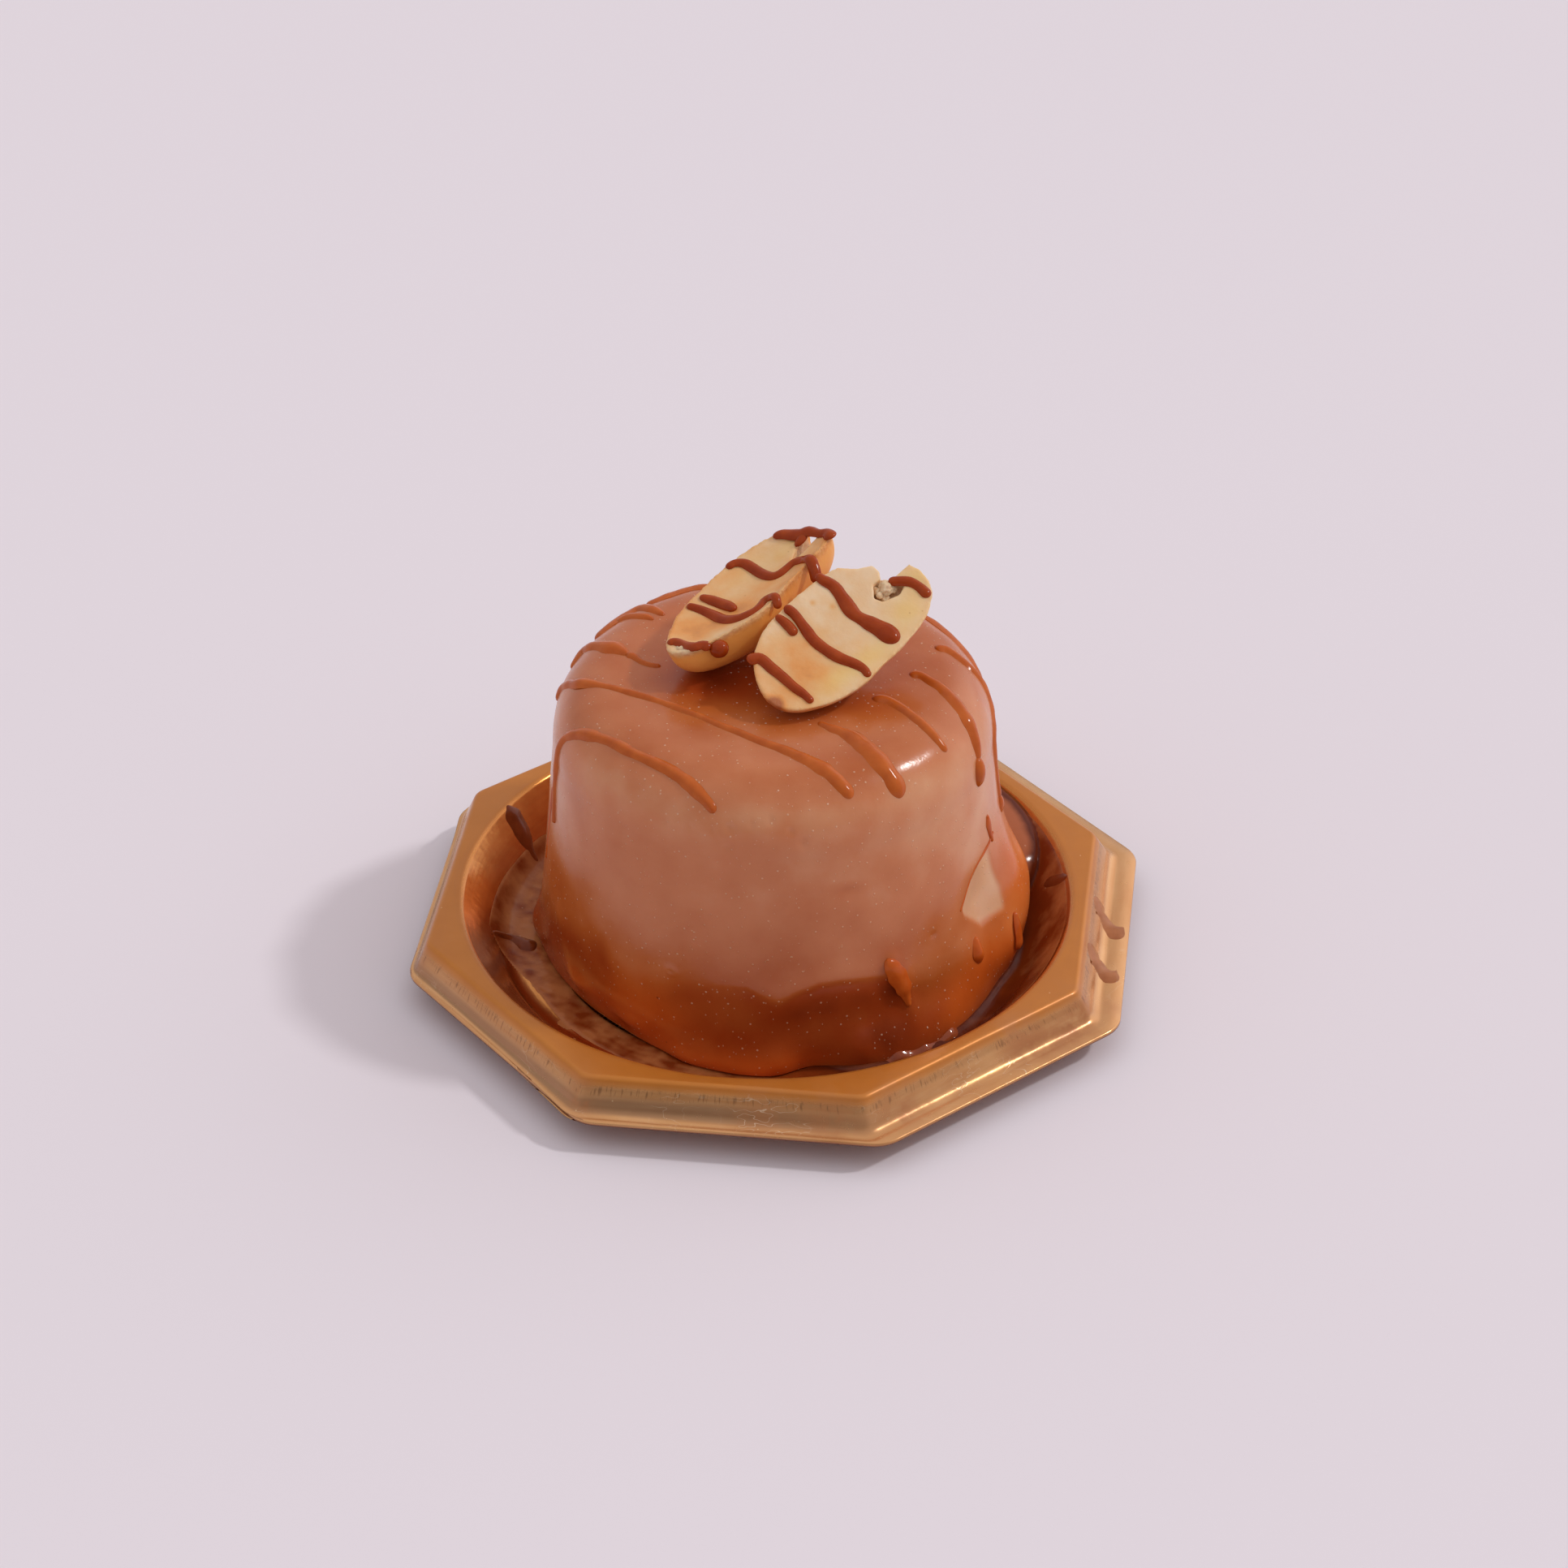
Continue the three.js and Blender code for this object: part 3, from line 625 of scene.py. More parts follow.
darkForms = [  # direction, height, half width in degrees, tallness and how much darker
    (-61, 8.4, 15, 1.7, 0.22), (-91.5, 5.1, 5, 1.3, 0.12), (-76, 7.6, 8, 1.6, 0.10),
    (-50, 3.2, 9, 1.8, 0.24), (-60, 3.6, 9, 2.2, 0.14), (-52, 9.6, 3.4, 2.6, 0.26),
    (-117, 5.9, 10, 3.2, -0.22), (-99, 1.8, 16, 1.5, -0.14), (-78, 1.8, 10, 1.3, -0.22),
    (-134, 3.6, 16, 2.6, -0.16), (-31, 5.2, 7, 2.2, -0.14), (-19, 4.2, 8, 2.8, -0.12),
    (-2, 4, 10, 3.4, -0.14), (-3, 12, 12, 4.0, 0.16), (4, 7, 10, 4.0, -0.06),
    (-142, 12, 18, 4.0, 0.22), (-156, 5.0, 14, 3.0, 0.22), (-92, 11.6, 22, 2.0, 0.16),
    (-98, 14, 34, 4.0, 0.06),
    (-150, 9.0, 4, 1.4, -0.14), (-64, 20.3, 4.5, 0.8, 0.20), (-72, 30.8, 40, 1.6, 0.08),
]
paintedThroughLightForms = [  # painted light: where light comes through the glaze, as above
    (-117, 5.6, 13, 3.4, 0.75), (-136, 3.0, 18, 2.4, 0.75), (-98, 1.6, 20, 1.6, 0.55),
    (-78, 1.8, 12, 1.8, 0.6), (-24, 4.4, 14, 3.2, 0.8), (0, 8, 13, 7.0, 0.95),
    (-38, 3.0, 8, 1.8, 0.5), (150, 4.0, 30, 3.0, 0.5), (60, 3.0, 60, 3.0, 0.4),
]
paintedSheenForms = [  # painted sheen and light: where the glaze is coloured paler, as above
    (-120, 29.5, 40, 2.0, 0.14), (-75, 29.8, 40, 2.0, 0.26), (-30, 27, 26, 4.0, 0.28),
    (-14, 22, 16, 5.0, 0.26), (-150, 20, 22, 7.0, 0.12), (-29, 9.0, 5, 1.6, 0.22),
    (-100, 20, 60, 7.0, 0.05), (-22, 18, 8, 3.0, 0.2),
]
paintedShadeUnderNuts = [  # painted shade on the top under the nuts, as place, half length, half width and amount
    (-5.0, -1.6, 5.0, 3.2, 0.42), (0.5, 2.5, 6.5, 4.5, 0.2), (7.5, -3.5, 4.5, 2.6, 0.16),
]
pits = [  # small holes and one bubble, as direction, height, radius and depth
    (-110.9, 26.6, 0.35, 0.16), (-104, 26.9, 0.3, 0.12), (-98, 27.0, 0.3, 0.12),
    (-93.5, 27.4, 0.4, 0.18), (-93.3, 25.4, 0.5, 0.2), (-88, 27.8, 0.3, 0.12),
    (-83.1, 28.2, 0.35, 0.14), (-78, 27.2, 0.3, 0.12), (-74.9, 25.9, 0.45, 0.16),
    (-108.2, 10.8, 0.42, -0.22), (-108.2, 10.8, 0.22, 0.26), (-40, 12, 0.3, 0.1),
]
# where the glaze ran off the bare mousse: its sides by height, its lower edge by direction
barePatch = {"left": [(8.6, -27), (12.6, -28), (14, -24.5), (15.6, -17), (16.4, -13.5)],
             "right": [(8.2, -9.5), (10.5, -9.5), (12.5, -11), (14.8, -12.5), (16.4, -13.5)],
             "low": [(-28, 11.6), (-20, 8.6), (-9, 8.0)]}


def fromCentre(angle, r, z):
    return Vector((mousse["centre"][0] + r * cos(angle), mousse["centre"][1] + r * sin(angle), z))


def aroundMousse(x, y):
    # distance and direction from the mousse's centre
    x, y = x - mousse["centre"][0], y - mousse["centre"][1]
    return hypot(x, y), atan2(y, x)


def plainRadius(z):
    if z < mousse["shoulderStart"]:
        return mousse["footRadius"] - mousse["taper"] * z
    up = min((z - mousse["shoulderStart"]) / (mousse["top"] - mousse["shoulderStart"]), 1)
    out = (1 - up ** mousse["roundness"]) ** (1 / mousse["roundness"])
    return mousse["topFlat"] + (shoulderRadius - mousse["topFlat"]) * out


def wellInside(z):
    radius, lean = dish["fillet"] - mousse["clearance"], wellLean()
    aboveCentre = z - dish["sheet"] - dish["fillet"]
    aboveFillet = aboveCentre + radius * sin(lean)
    if aboveFillet > 0:
        return dish["floorRadius"] + radius * cos(lean) + aboveFillet * tan(lean)
    return dish["floorRadius"] + sqrt(max(radius ** 2 - aboveCentre ** 2, 0))


def wallLimit(angle, z):
    x, y = (mousse["centre"][i] - dish["offset"][i] for i in (0, 1))
    along = x * cos(angle) + y * sin(angle)
    across = x * sin(angle) - y * cos(angle)
    return sqrt(wellInside(z) ** 2 - across ** 2) - along


def glazedRadius(angle, z):
    turn = degrees(angle)
    radius = plainRadius(z) + addForms(glazeForms, turn, z)
    above = z - alongPoints(ridge, turn)
    front = bump(turnBetween(turn, -72) / 24)
    radius += 0.10 * front * (bump(above / 1.6) if above > 0 else bump(above / 0.5))
    radius += 0.1 * noise.noise(Vector((cos(angle) * 5, sin(angle) * 5, z * 0.25))) * bump(z / 9)
    return min(radius, wallLimit(angle, z))


def polar(turn, z):
    # a place on the glazed side by its direction and height
    angle = radians(turn)
    return fromCentre(angle, glazedRadius(angle, z), z)


def onMousse(point, lift=0.0):
    # the nearest place straight in or out on the glazed surface
    r, angle = aroundMousse(*point[:2])
    z = point[2] if len(point) > 2 else mousse["top"]
    if z < mousse["shoulderStart"]:
        r = glazedRadius(angle, z)
    else:
        width, height = shoulderRadius - mousse["topFlat"], mousse["top"] - mousse["shoulderStart"]
        out, up = max((r - mousse["topFlat"]) / width, 0), (z - mousse["shoulderStart"]) / height
        power = mousse["roundness"]
        scale = (out ** power + up ** power) ** (1 / power)
        if out > 0:
            r = mousse["topFlat"] + width * out / scale
        z = mousse["shoulderStart"] + height * up / scale
    place = fromCentre(angle, r, z)
    return place + outOfMousse(place) * lift


def outOfMousse(point):
    x, y = point.x - mousse["centre"][0], point.y - mousse["centre"][1]
    radius = hypot(x, y)
    width, height = shoulderRadius - mousse["topFlat"], mousse["top"] - mousse["shoulderStart"]
    out = max((radius - mousse["topFlat"]) / width, 0)
    up = max((point.z - mousse["shoulderStart"]) / height, 0)
    sideways = out ** (mousse["roundness"] - 1) / width
    upwards = up ** (mousse["roundness"] - 1) / height
    return Vector((x / radius * sideways, y / radius * sideways, upwards)).normalized()


def inBarePatch(turn, z):
    if not -40 < turn < 10 or not 6 < z < 18:
        return 0.0
    left, right = alongPoints(barePatch["left"], z), alongPoints(barePatch["right"], z)
    low = alongPoints(barePatch["low"], turn)
    inside = smoothStep(-0.5, 0.6, turn - left) * smoothStep(-1.2, 1.2, right - turn)
    return inside * smoothStep(-0.5, 0.7, z - low) * smoothStep(-0.3, 0.8, 16.2 - z)


def glazeDepthAndPaintedLight(turn, z, point):
    # how thick the caramel lies: 0 bare mousse, 1 a dark pool; painted shade and painted sheen are mixed into
    # it
    depth = mix(0.31, 0.47, smoothStep(27.5, 31, z)) + 0.06 * (1 - smoothStep(10, 20, z))
    # painted shade under the nuts on the top
    if z > 30.5:
        for x, y, wide, deep, amount in paintedShadeUnderNuts:
            depth += amount * bump(hypot((point.x - x) / wide, (point.y - y) / deep))
    low = alongPoints(ridge, turn)
    crisp = bump(turnBetween(turn, -70) / 24)
    edge = mix(2.8, 1.2, crisp)
    depth = mix(0.70, depth, smoothStep(low - 0.8 * edge, low + 0.7 * edge, z))
    depth += 0.10 * noise.noise(point * 0.12) + 0.05 * noise.noise(point * 0.35)
    # darker spots, and paler where the painted sheen lies
    depth += 0.6 * addForms(darkForms, turn, z) - 0.45 * addForms(paintedSheenForms, turn, z)
    # a thin paler line right at the crisp ridge, a painted highlight
    depth -= 0.10 * crisp * bump((z - low) / 0.45)
    return min(max(mix(depth, 0.02, inBarePatch(turn, z)), 0), 1)


def glazeMaterial():
    material, tree, shader = newMaterial("caramelGlaze")
    setShader(
        shader, roughness=0.21, ior=1.45, subsurface=0.25, subsurfaceScale=0.0012,
        radius=(1.0, 0.45, 0.2),
    )
    place = millimetres(tree)
    depth, paintedThroughLight = attribute(tree, "glazeDepthAndPaintedLight"), attribute(tree, "paintedThroughLight")
    cloud = remap(tree, noiseNode(tree, place, 0.22, 5), 0.3, 0.7, -0.05, 0.05)
    depth = calculate(tree, "ADD", depth, cloud)
    plain, lit = ramp(tree, depth, glazeTones["plain"]), ramp(tree, depth, glazeTones["lit"])
    # the lit tones are painted light coming through the glaze
    tone = mixColor(tree, paintedThroughLight, plain, lit)
    near = dots(tree, place, 1.1, 0.14)
    tiny = dots(tree, stretched(tree, place, (1, 1, 0.7)), 1.6, 0.13)
    dark = dots(tree, stretched(tree, place, (1, 1, 1.1)), 0.13, 0.022)
    for specks, amount, name in ((near, 0.5, "specks"), (tiny, 0.4, "fineSpecks"), (dark, 0.6, "darkSpecks")):
        tone = mixColor(tree, calculate(tree, "MULTIPLY", specks, amount), tone, glazeTones[name])
    connect(tree, tone, shader, "Base Color")
    ripples = bumpNode(tree, noiseNode(tree, place, 0.5, 2), 0.05, 0.5)
    grain = bumpNode(tree, noiseNode(tree, place, 3.2, 2), 0.012, 0.7, ripples)
    pimples = bumpNode(tree, calculate(tree, "ADD", near, tiny), 0.06, 0.7, grain)
    connect(tree, pimples, shader, "Normal")
    return material


def makeMousse(material):
    profile = [(r, mousse["bottom"]) for r in (0, *mousse["bottomRings"])]
    for i in range(mousse["sideRows"] + 1):
        z = mix(mousse["bottom"], mousse["shoulderStart"], (i / mousse["sideRows"]) ** 1.2)
        profile.append((plainRadius(z), z))
    width, height = shoulderRadius - mousse["topFlat"], mousse["top"] - mousse["shoulderStart"]
    for i in range(1, mousse["shoulderRows"] + 1):
        turn = pi / 2 * i / mousse["shoulderRows"]
        out, up = max(cos(turn), 0) ** (2 / mousse["roundness"]), sin(turn) ** (2 / mousse["roundness"])
        profile.append((mousse["topFlat"] + width * out, mousse["shoulderStart"] + height * up))
    for i in range(1, mousse["topRows"] + 1):
        profile.append((mousse["topFlat"] * (1 - i / mousse["topRows"]), mousse["top"]))
    rings = len(profile) - 1
    bm = bmesh.new()
    bmesh.ops.create_uvsphere(bm, u_segments=mousse["steps"], v_segments=rings, radius=1)
    depth = bm.verts.layers.float.new("glazeDepthAndPaintedLight")
    paintedThroughLight = bm.verts.layers.float.new("paintedThroughLight")
    for vert in bm.verts:
        angle = atan2(vert.co.y, vert.co.x)
        turn = degrees(angle)
        ring = round(acos(min(max(-vert.co.z, -1), 1)) / pi * rings)
        r, z = profile[ring]
        if ring > len(mousse["bottomRings"]) and z < mousse["shoulderStart"]:
            r = glazedRadius(angle, z)
        vert.co = fromCentre(angle, r, z)
        vert[depth] = glazeDepthAndPaintedLight(turn, z, vert.co)
        bare = inBarePatch(turn, z)
        # painted light coming through the glaze, none on the bare patch
        vert[paintedThroughLight] = min(addForms(paintedThroughLightForms, turn, z), 1) * (1 - bare)
        if z > mousse["bottom"] + 0.2:
            out = outOfMousse(vert.co)
            vert.co += out * (0.06 * noise.noise(vert.co * 0.3) - 0.12 * bare)
            for pitTurn, pitHeight, radius, sink in pits:
                if abs(z - pitHeight) < 2 and turnBetween(turn, pitTurn) < 6:
                    away = hypot(radians(turnBetween(turn, pitTurn)) * r, z - pitHeight) / radius
                    vert.co -= out * sink * bump(away)
    makePiece("mousseBody", bm, material, "mousse")


# the glaze that lies in the well: a film, a puddle at the front right, the pool at the back

wellGlaze = {
    "leftEdge": [(140, 25.6), (150, 27.4), (190, 27.8), (198, 26), (205, 24.6), (212, 24.3), (360, 24.3)],
    "inner": 20.2, "outer": 30.25, "rows": 66, "steps": 480, "sunk": 0.2,
    "underEvery": 6,  # the underside takes one row in so many
    "poolAngle": 46, "poolSpread": 31, "poolTop": 6.6, "poolReach": 9.5, "poolFullness": 3,
    "deepest": 6,
    "tones": [
        (0.0, (0.50, 0.17, 0.055)), (0.15, (0.25, 0.042, 0.007)), (0.6, (0.10, 0.013, 0.003)),
        # the last, lighter tone is a painted sheen on the pool's dome
        (1.0, (0.40, 0.115, 0.048)),
    ],
    "specks": (0.7, 0.4, 0.25),
}
filmForms = [  # direction, distance from the well's middle, half width, reach, thickness
    (-2, 27.5, 34, 3.4, 0.16), (-45, 26.0, 20, 2.6, 0.5), (-30, 25.0, 16, 2.0, 0.45),
    (-62, 25.0, 12, 1.6, 0.3), (30, 27.5, 18, 3.0, 0.2), (-70, 22, 22, 2.6, 0.25),
    (14, 24.4, 16, 1.8, 0.6), (95, 26, 22, 3.0, 0.12), (160, 25.5, 12, 2.0, 0.05),
]


def poolHeight(x, y):
    r, angle = aroundMousse(x, y)
    away = turnBetween(degrees(angle), wellGlaze["poolAngle"]) / wellGlaze["poolSpread"]
    out = hypot(max(r - plainRadius(0), 0) / wellGlaze["poolReach"], away)
    full = wellGlaze["poolFullness"]
    return wellGlaze["poolTop"] * max(1 - out ** full, 0) ** (1 / full)


def filmThickness(turn, r, x, y):
    thick = addForms(filmForms, turn, r) - 0.05
    reach = alongPoints(wellGlaze["leftEdge"], turn % 360)
    left = smoothStep(reach + 0.15, reach - 0.1, r) * smoothStep(80, 60, turnBetween(turn, -135))
    wrinkles = noise.noise(Vector((x * 0.5 + y * 0.9, y * 0.5 - x * 0.4, 3)) * 1.6)
    thick = max(thick, (0.14 + 0.07 * wrinkles * smoothStep(26.2, 24.8, r)) * left - 0.03)
    outer, angle = aroundMousse(x, y)
    gap = outer - glazedRadius(angle, 1.2)
    creep = 0.45 * bump(max(gap, 0) / 0.5) * smoothStep(42, 26, turnBetween(turn, -34))
    onWall = smoothStep(25, 26.5, r)
    return thick + creep + mix(0.03, 0.004, onWall) * noise.noise(Vector((x, y, 0)) * 0.9)


def wellGlazeMaterial():
    material, tree, shader = newMaterial("wellGlaze")
    setShader(
        shader, roughness=0.13, ior=1.45, subsurface=0.12, subsurfaceScale=0.0012,
        radius=(1.0, 0.4, 0.15), specular=0.14,
    )
    place = millimetres(tree)
    cloud = remap(tree, noiseNode(tree, place, 0.3, 4), 0.3, 0.7, -0.1, 0.1)
    depth = calculate(tree, "ADD", attribute(tree, "glazeDepthAndPaintedLight"), cloud)
    near = dots(tree, place, 0.5, 0.07)
    specks = calculate(tree, "MULTIPLY", near, 0.4)
    tone = mixColor(tree, specks, ramp(tree, depth, wellGlaze["tones"]), wellGlaze["specks"])
    connect(tree, tone, shader, "Base Color")
    ripples = bumpNode(tree, noiseNode(tree, place, 0.45, 2), 0.03, 0.5)
    connect(tree, bumpNode(tree, near, 0.04, 0.6, ripples), shader, "Normal")
    return material


def makeWellGlaze(material):
    # a grid rolled up both ways, once round the well and once round its own section
    rows = wellGlaze["rows"]
    reach = [mix(wellGlaze["inner"], wellGlaze["outer"], i / rows) for i in range(rows + 1)]
    ring = [(r, True) for r in reach] + [(r, False) for r in reach[::-wellGlaze["underEvery"]]]
    steps = wellGlaze["steps"]
    bm = bmesh.new()
    bmesh.ops.create_grid(bm, x_segments=steps, y_segments=len(ring), size=1)
    depth = bm.verts.layers.float.new("glazeDepthAndPaintedLight")
    profile = wellProfile()
    for vert in bm.verts:
        column, row = (round((part + 1) / 2 * count) for part, count in zip(vert.co, (steps, len(ring))))
        turn = (column % steps) * 360 / steps - 180
        r, top = ring[row % len(ring)]
        x = dish["offset"][0] + r * cos(radians(turn))
        y = dish["offset"][1] + r * sin(radians(turn))
        below = alongPoints(profile, r)
        if not top:
            vert.co = (x, y, below - wellGlaze["sunk"])
            continue
        film = filmThickness(turn, r, x, y)
        inPool = poolHeight(x, y) - below
        thick = min(max(film, inPool), wellGlaze["deepest"])
        inWell = smoothStep(wellGlaze["outer"], wellGlaze["outer"] - 0.5, r)
        thick = mix(-0.12, max(thick, -0.12), inWell)
        vert.co = (x, y, below + thick)
        vert[depth] = smoothStep(0, 0.5, film) * 0.6
        # in the pool, higher up takes the lighter tone, a painted sheen
        if inPool > film:
            vert[depth] = mix(0.5, 1, smoothStep(0.8, 3.2, inPool))
    bmesh.ops.remove_doubles(bm, verts=bm.verts, dist=1e-5)
    makePiece("glazeInWell", bm, material, "mousse")


# the drizzle, and what ran or dripped from it

caramels = {  # each as its darker and lighter tone, roughness and gloss
    "drizzleMelted": [(0.46, 0.090, 0.014), (0.56, 0.125, 0.020), 0.14, 0.2],
    "amberCaramel": [(0.46, 0.070, 0.008), (0.58, 0.115, 0.016), 0.14, 0.2],
    "wetCaramel": [(0.26, 0.042, 0.008), (0.36, 0.070, 0.014), 0.1, 0.4],
    "darkCaramel": [(0.18, 0.034, 0.008), (0.26, 0.052, 0.012), 0.14, 0.2],
    "smearedCaramel": [(0.36, 0.12, 0.045), (0.46, 0.17, 0.07), 0.2, 0.2],
    "drizzleOnNuts": [(0.30, 0.034, 0.003), (0.39, 0.058, 0.008), 0.13, 0.2],
}
drizzle = {"halfWidth": 0.6, "halfHeight": 0.42, "sides": 20, "ringEvery": 0.24, "sunk": 0.22}
topStrands = {
    "backLeft": {"wide": [1.4, 1.54, 1.12], "path": [
        (-15.2, 13.8, 30.2), (-14.6, 14.5, 30.8), (-13.9, 15.3, 31.1), (-12.6, 16.2, 31.0),
        (-11.0, 16.9, 30.7), (-9.2, 16.5, 30.7), (-6, 15.5)]},
    "leftUpper": {"wide": [1.49, 1.62, 1.62, 0.94], "path": [
        (-19.2, 8.5, 28.6), (-18.6, 10.1, 30.1), (-18.3, 10.8, 30.4), (-17.7, 11.6, 30.6),
        (-16.5, 12.5, 30.4), (-15.4, 12.6, 30.4), (-13.9, 11.3, 31.0), (-12.6, 10.0, 31.2)]},
    "leftUpperLobe": {"wide": [0.81, 1.49, 0.68], "path": [
        (-17.8, 10.4, 30.5), (-16.5, 10.6, 30.8), (-14.4, 9.7, 31.1), (-13.5, 9.1, 31.2)]},
    "left": {"wide": [1.04, 1.56, 1.56, 1.95, 0.91], "path": [
        (-21.5, 4.4, 28.3), (-21.4, 5.6, 29.3), (-20.8, 6.2, 29.6), (-20.0, 6.0, 29.8),
        (-19.1, 5.4, 30.2), (-17.4, 4.2, 31.0), (-16.0, 3.3, 31.2), (-15.0, 2.5, 31.2)]},
    "leftTail": {"wide": [1.08, 0.6, 0.72], "path": [
        (-15.2, 2.6), (-14.4, 2.3), (-13.6, 1.5), (-12.5, 1.0), (-11.5, 0.9)]},
    "long": {"wide": [0.99, 1.21, 0.99, 0.83, 0.83, 0.88, 1.1, 1.49, 1.21], "path": [
        (-21.9, 0.6, 26.6), (-21.2, 0.6, 28.2), (-19.5, -1.3, 30.0), (-17.9, -2.4, 30.8),
        (-14.3, -3.9), (-11.8, -4.8), (-9.3, -5.9), (-6.7, -7.2), (-4.6, -8.5), (-2.3, -9.7),
        (0.0, -11.0), (2.1, -12.0), (4.0, -13.1, 31.2), (5.5, -14.1, 31.1), (6.6, -14.8, 30.9),
        (7.9, -15.7, 30.3), (8.6, -16.1, 29.7), (9.0, -16.5, 29.2)]},
    "front": {"wide": [0.6, 0.8, 1.0, 0.9, 1.1, 1.0, 0.9, 1.0, 1.2, 0.8], "path": [
        (-21.1, -7.4, 17.6), (-21.1, -7.1, 18.8), (-21.1, -6.9, 20.5), (-21.0, -6.7, 22.1),
        (-20.5, -6.9, 25.4), (-19.7, -7.4, 27.6), (-18.2, -8.6, 29.1), (-16.8, -9.7, 29.8),
        (-15.3, -10.8, 30.2), (-13.8, -11.9, 30.4), (-12.2, -13.2, 30.5), (-10.8, -14.1, 30.6),
        (-9.5, -14.9, 30.6), (-8.3, -15.6, 30.5), (-7.1, -16.5, 30.4), (-6.1, -17.2, 30.1),
        (-5.1, -18.0, 29.7), (-4.3, -18.6, 29.3), (-3.8, -19.0, 28.9), (-3.5, -19.3, 28.5)]},
    "middleRight": {"wide": [0.77, 1.21, 1.65, 1.87, 1.87, 1.65, 1.32], "path": [
        (4.8, -7.1), (6.4, -8.0), (7.3, -8.4), (8.3, -9.1), (9.1, -10.0), (10.0, -11.1),
        (10.8, -11.9, 30.9), (11.7, -12.7, 30.4), (12.5, -13.3, 29.8), (13.1, -13.8, 29.0),
        (13.5, -14.2, 28.1)]},
    "rightInner": {"wide": [1.38, 1.12, 1, 1.12, 1, 1], "path": [
        (9.4, -2.3), (10.7, -2.4), (11.7, -3.0), (12.7, -3.9), (13.8, -5.1, 31.2),
        (14.8, -6.1, 31.0), (15.5, -6.7, 30.7), (16.1, -7.2, 30.3), (16.7, -7.6, 29.8),
        (17.1, -7.9, 29.3)]},
    "right": {"wide": [1.2, 1.08, 1.2, 1.44, 1.68, 1.44, 0.96], "path": [
        (12.5, 2.4), (13.6, 2.3), (14.6, 1.5), (15.7, 0.6, 31.1), (16.6, -0.4, 30.9),
        (17.4, -1.2, 30.6), (18.2, -2.0, 30.0), (18.8, -2.6, 29.4), (19.3, -3.2, 28.7),
        (19.5, -3.8, 27.6), (19.6, -4.4, 26.2)], "drop": (0.95, (19.6, -4.6, 25.0), 1.8)},
    "rightOuter": {"wide": [1.26, 1.15, 1.15, 1.26, 1.03, 0.8, 0.8], "path": [
        (14.5, 7.4, 31.1), (15.5, 7.8, 30.9), (16.4, 7.5, 30.6), (17.2, 7.0, 30.3),
        (18.0, 6.6, 29.7), (18.8, 6.4, 28.9), (19.4, 6.2, 27.9), (19.9, 5.6, 26.9),
        (20.4, 4.9, 26.0), (20.8, 3.8, 25.0), (21.0, 2.7, 23.5), (21.1, 2.4, 20.5), (21.2, 2.4, 17.4)],
        "drop": (0.75, (21.3, 2.4, 16.6), 1.7)},
    "backRight": {"wide": [1.2, 1.44, 1.2, 0.96], "path": [
        (9.5, 18.5, 30.2), (13.3, 15.4, 30.5), (14.3, 14.6, 30.2), (15.4, 13.7, 30.0), (16.4, 12.7, 29.8),
        (17.5, 11.8, 29.6), (18.3, 11.1, 29.0), (18.8, 10.2, 28.2), (19.2, 9.6, 26.5), (19.4, 9.3, 24.0)]},
    "backShoulder": {"wide": [1.2, 1.32, 1.32, 1.2], "path": [
        (-2.5, 19.5, 29.9), (1.5, 19.6, 29.8), (6, 19.1, 29.6), (10, 17.8, 29.5), (13.4, 15.6, 29.3)]},
}
sideRuns = {  # thin runs down the side, as direction and height
    "hairline": {"wide": [0.3, 0.35, 0.3, 0.4], "high": 0.3, "path": [
        (-8.2, 16.6), (-12, 16.2), (-15.7, 15.9), (-19, 15.6), (-22.4, 15.1), (-26.2, 13.6), (-29.4, 12.4)]},
    "hairlineDrop": {"wide": [0.5, 1.0, 0.7, 0.4], "high": 0.6, "path": [
        (-12, 19.4), (-11.3, 18.2), (-10.6, 17.0), (-9.6, 15.8)]},
    "smallDrop": {"wide": [0.6, 1.2, 1.6, 1.3], "high": 1.0, "path": [
        (-6.6, 6.8), (-7.6, 5.4), (-8.8, 4.1), (-9.6, 3.2)]},
    "lowDrop": {"wide": [0.8, 1.5, 1.6, 1.2], "high": 1.1, "path": [
        (-24.4, 8.4), (-24.9, 7.5), (-25.2, 6.7), (-25.6, 5.8)]},
    "bulgeDrop": {"wide": [0.7, 1.4, 1.9, 1.6, 1.0, 0.5], "high": 0.7, "path": [
        (-54.6, 11.8), (-53.6, 10.9), (-52.2, 9.6), (-51.0, 8.4), (-50.2, 7.2), (-49.6, 6.0)]},
    "leftRun": {"wide": [0.4, 0.6, 0.5, 0.4], "high": 0.35, "path": [
        (-163, 20.5), (-164, 17), (-164.5, 14), (-165, 11.6)]},
}
wetEdge = {  # the dark wet edge of the glaze at the front right, as direction and height
    "wetEdge": {"wide": [0.5, 1.4, 0.8, 1.7, 0.9, 1.5, 0.5], "high": 1.4, "path": [
        (-37, 1.2), (-42, 1.4), (-47, 1.1), (-52, 1.3), (-58, 1.1)]},
}
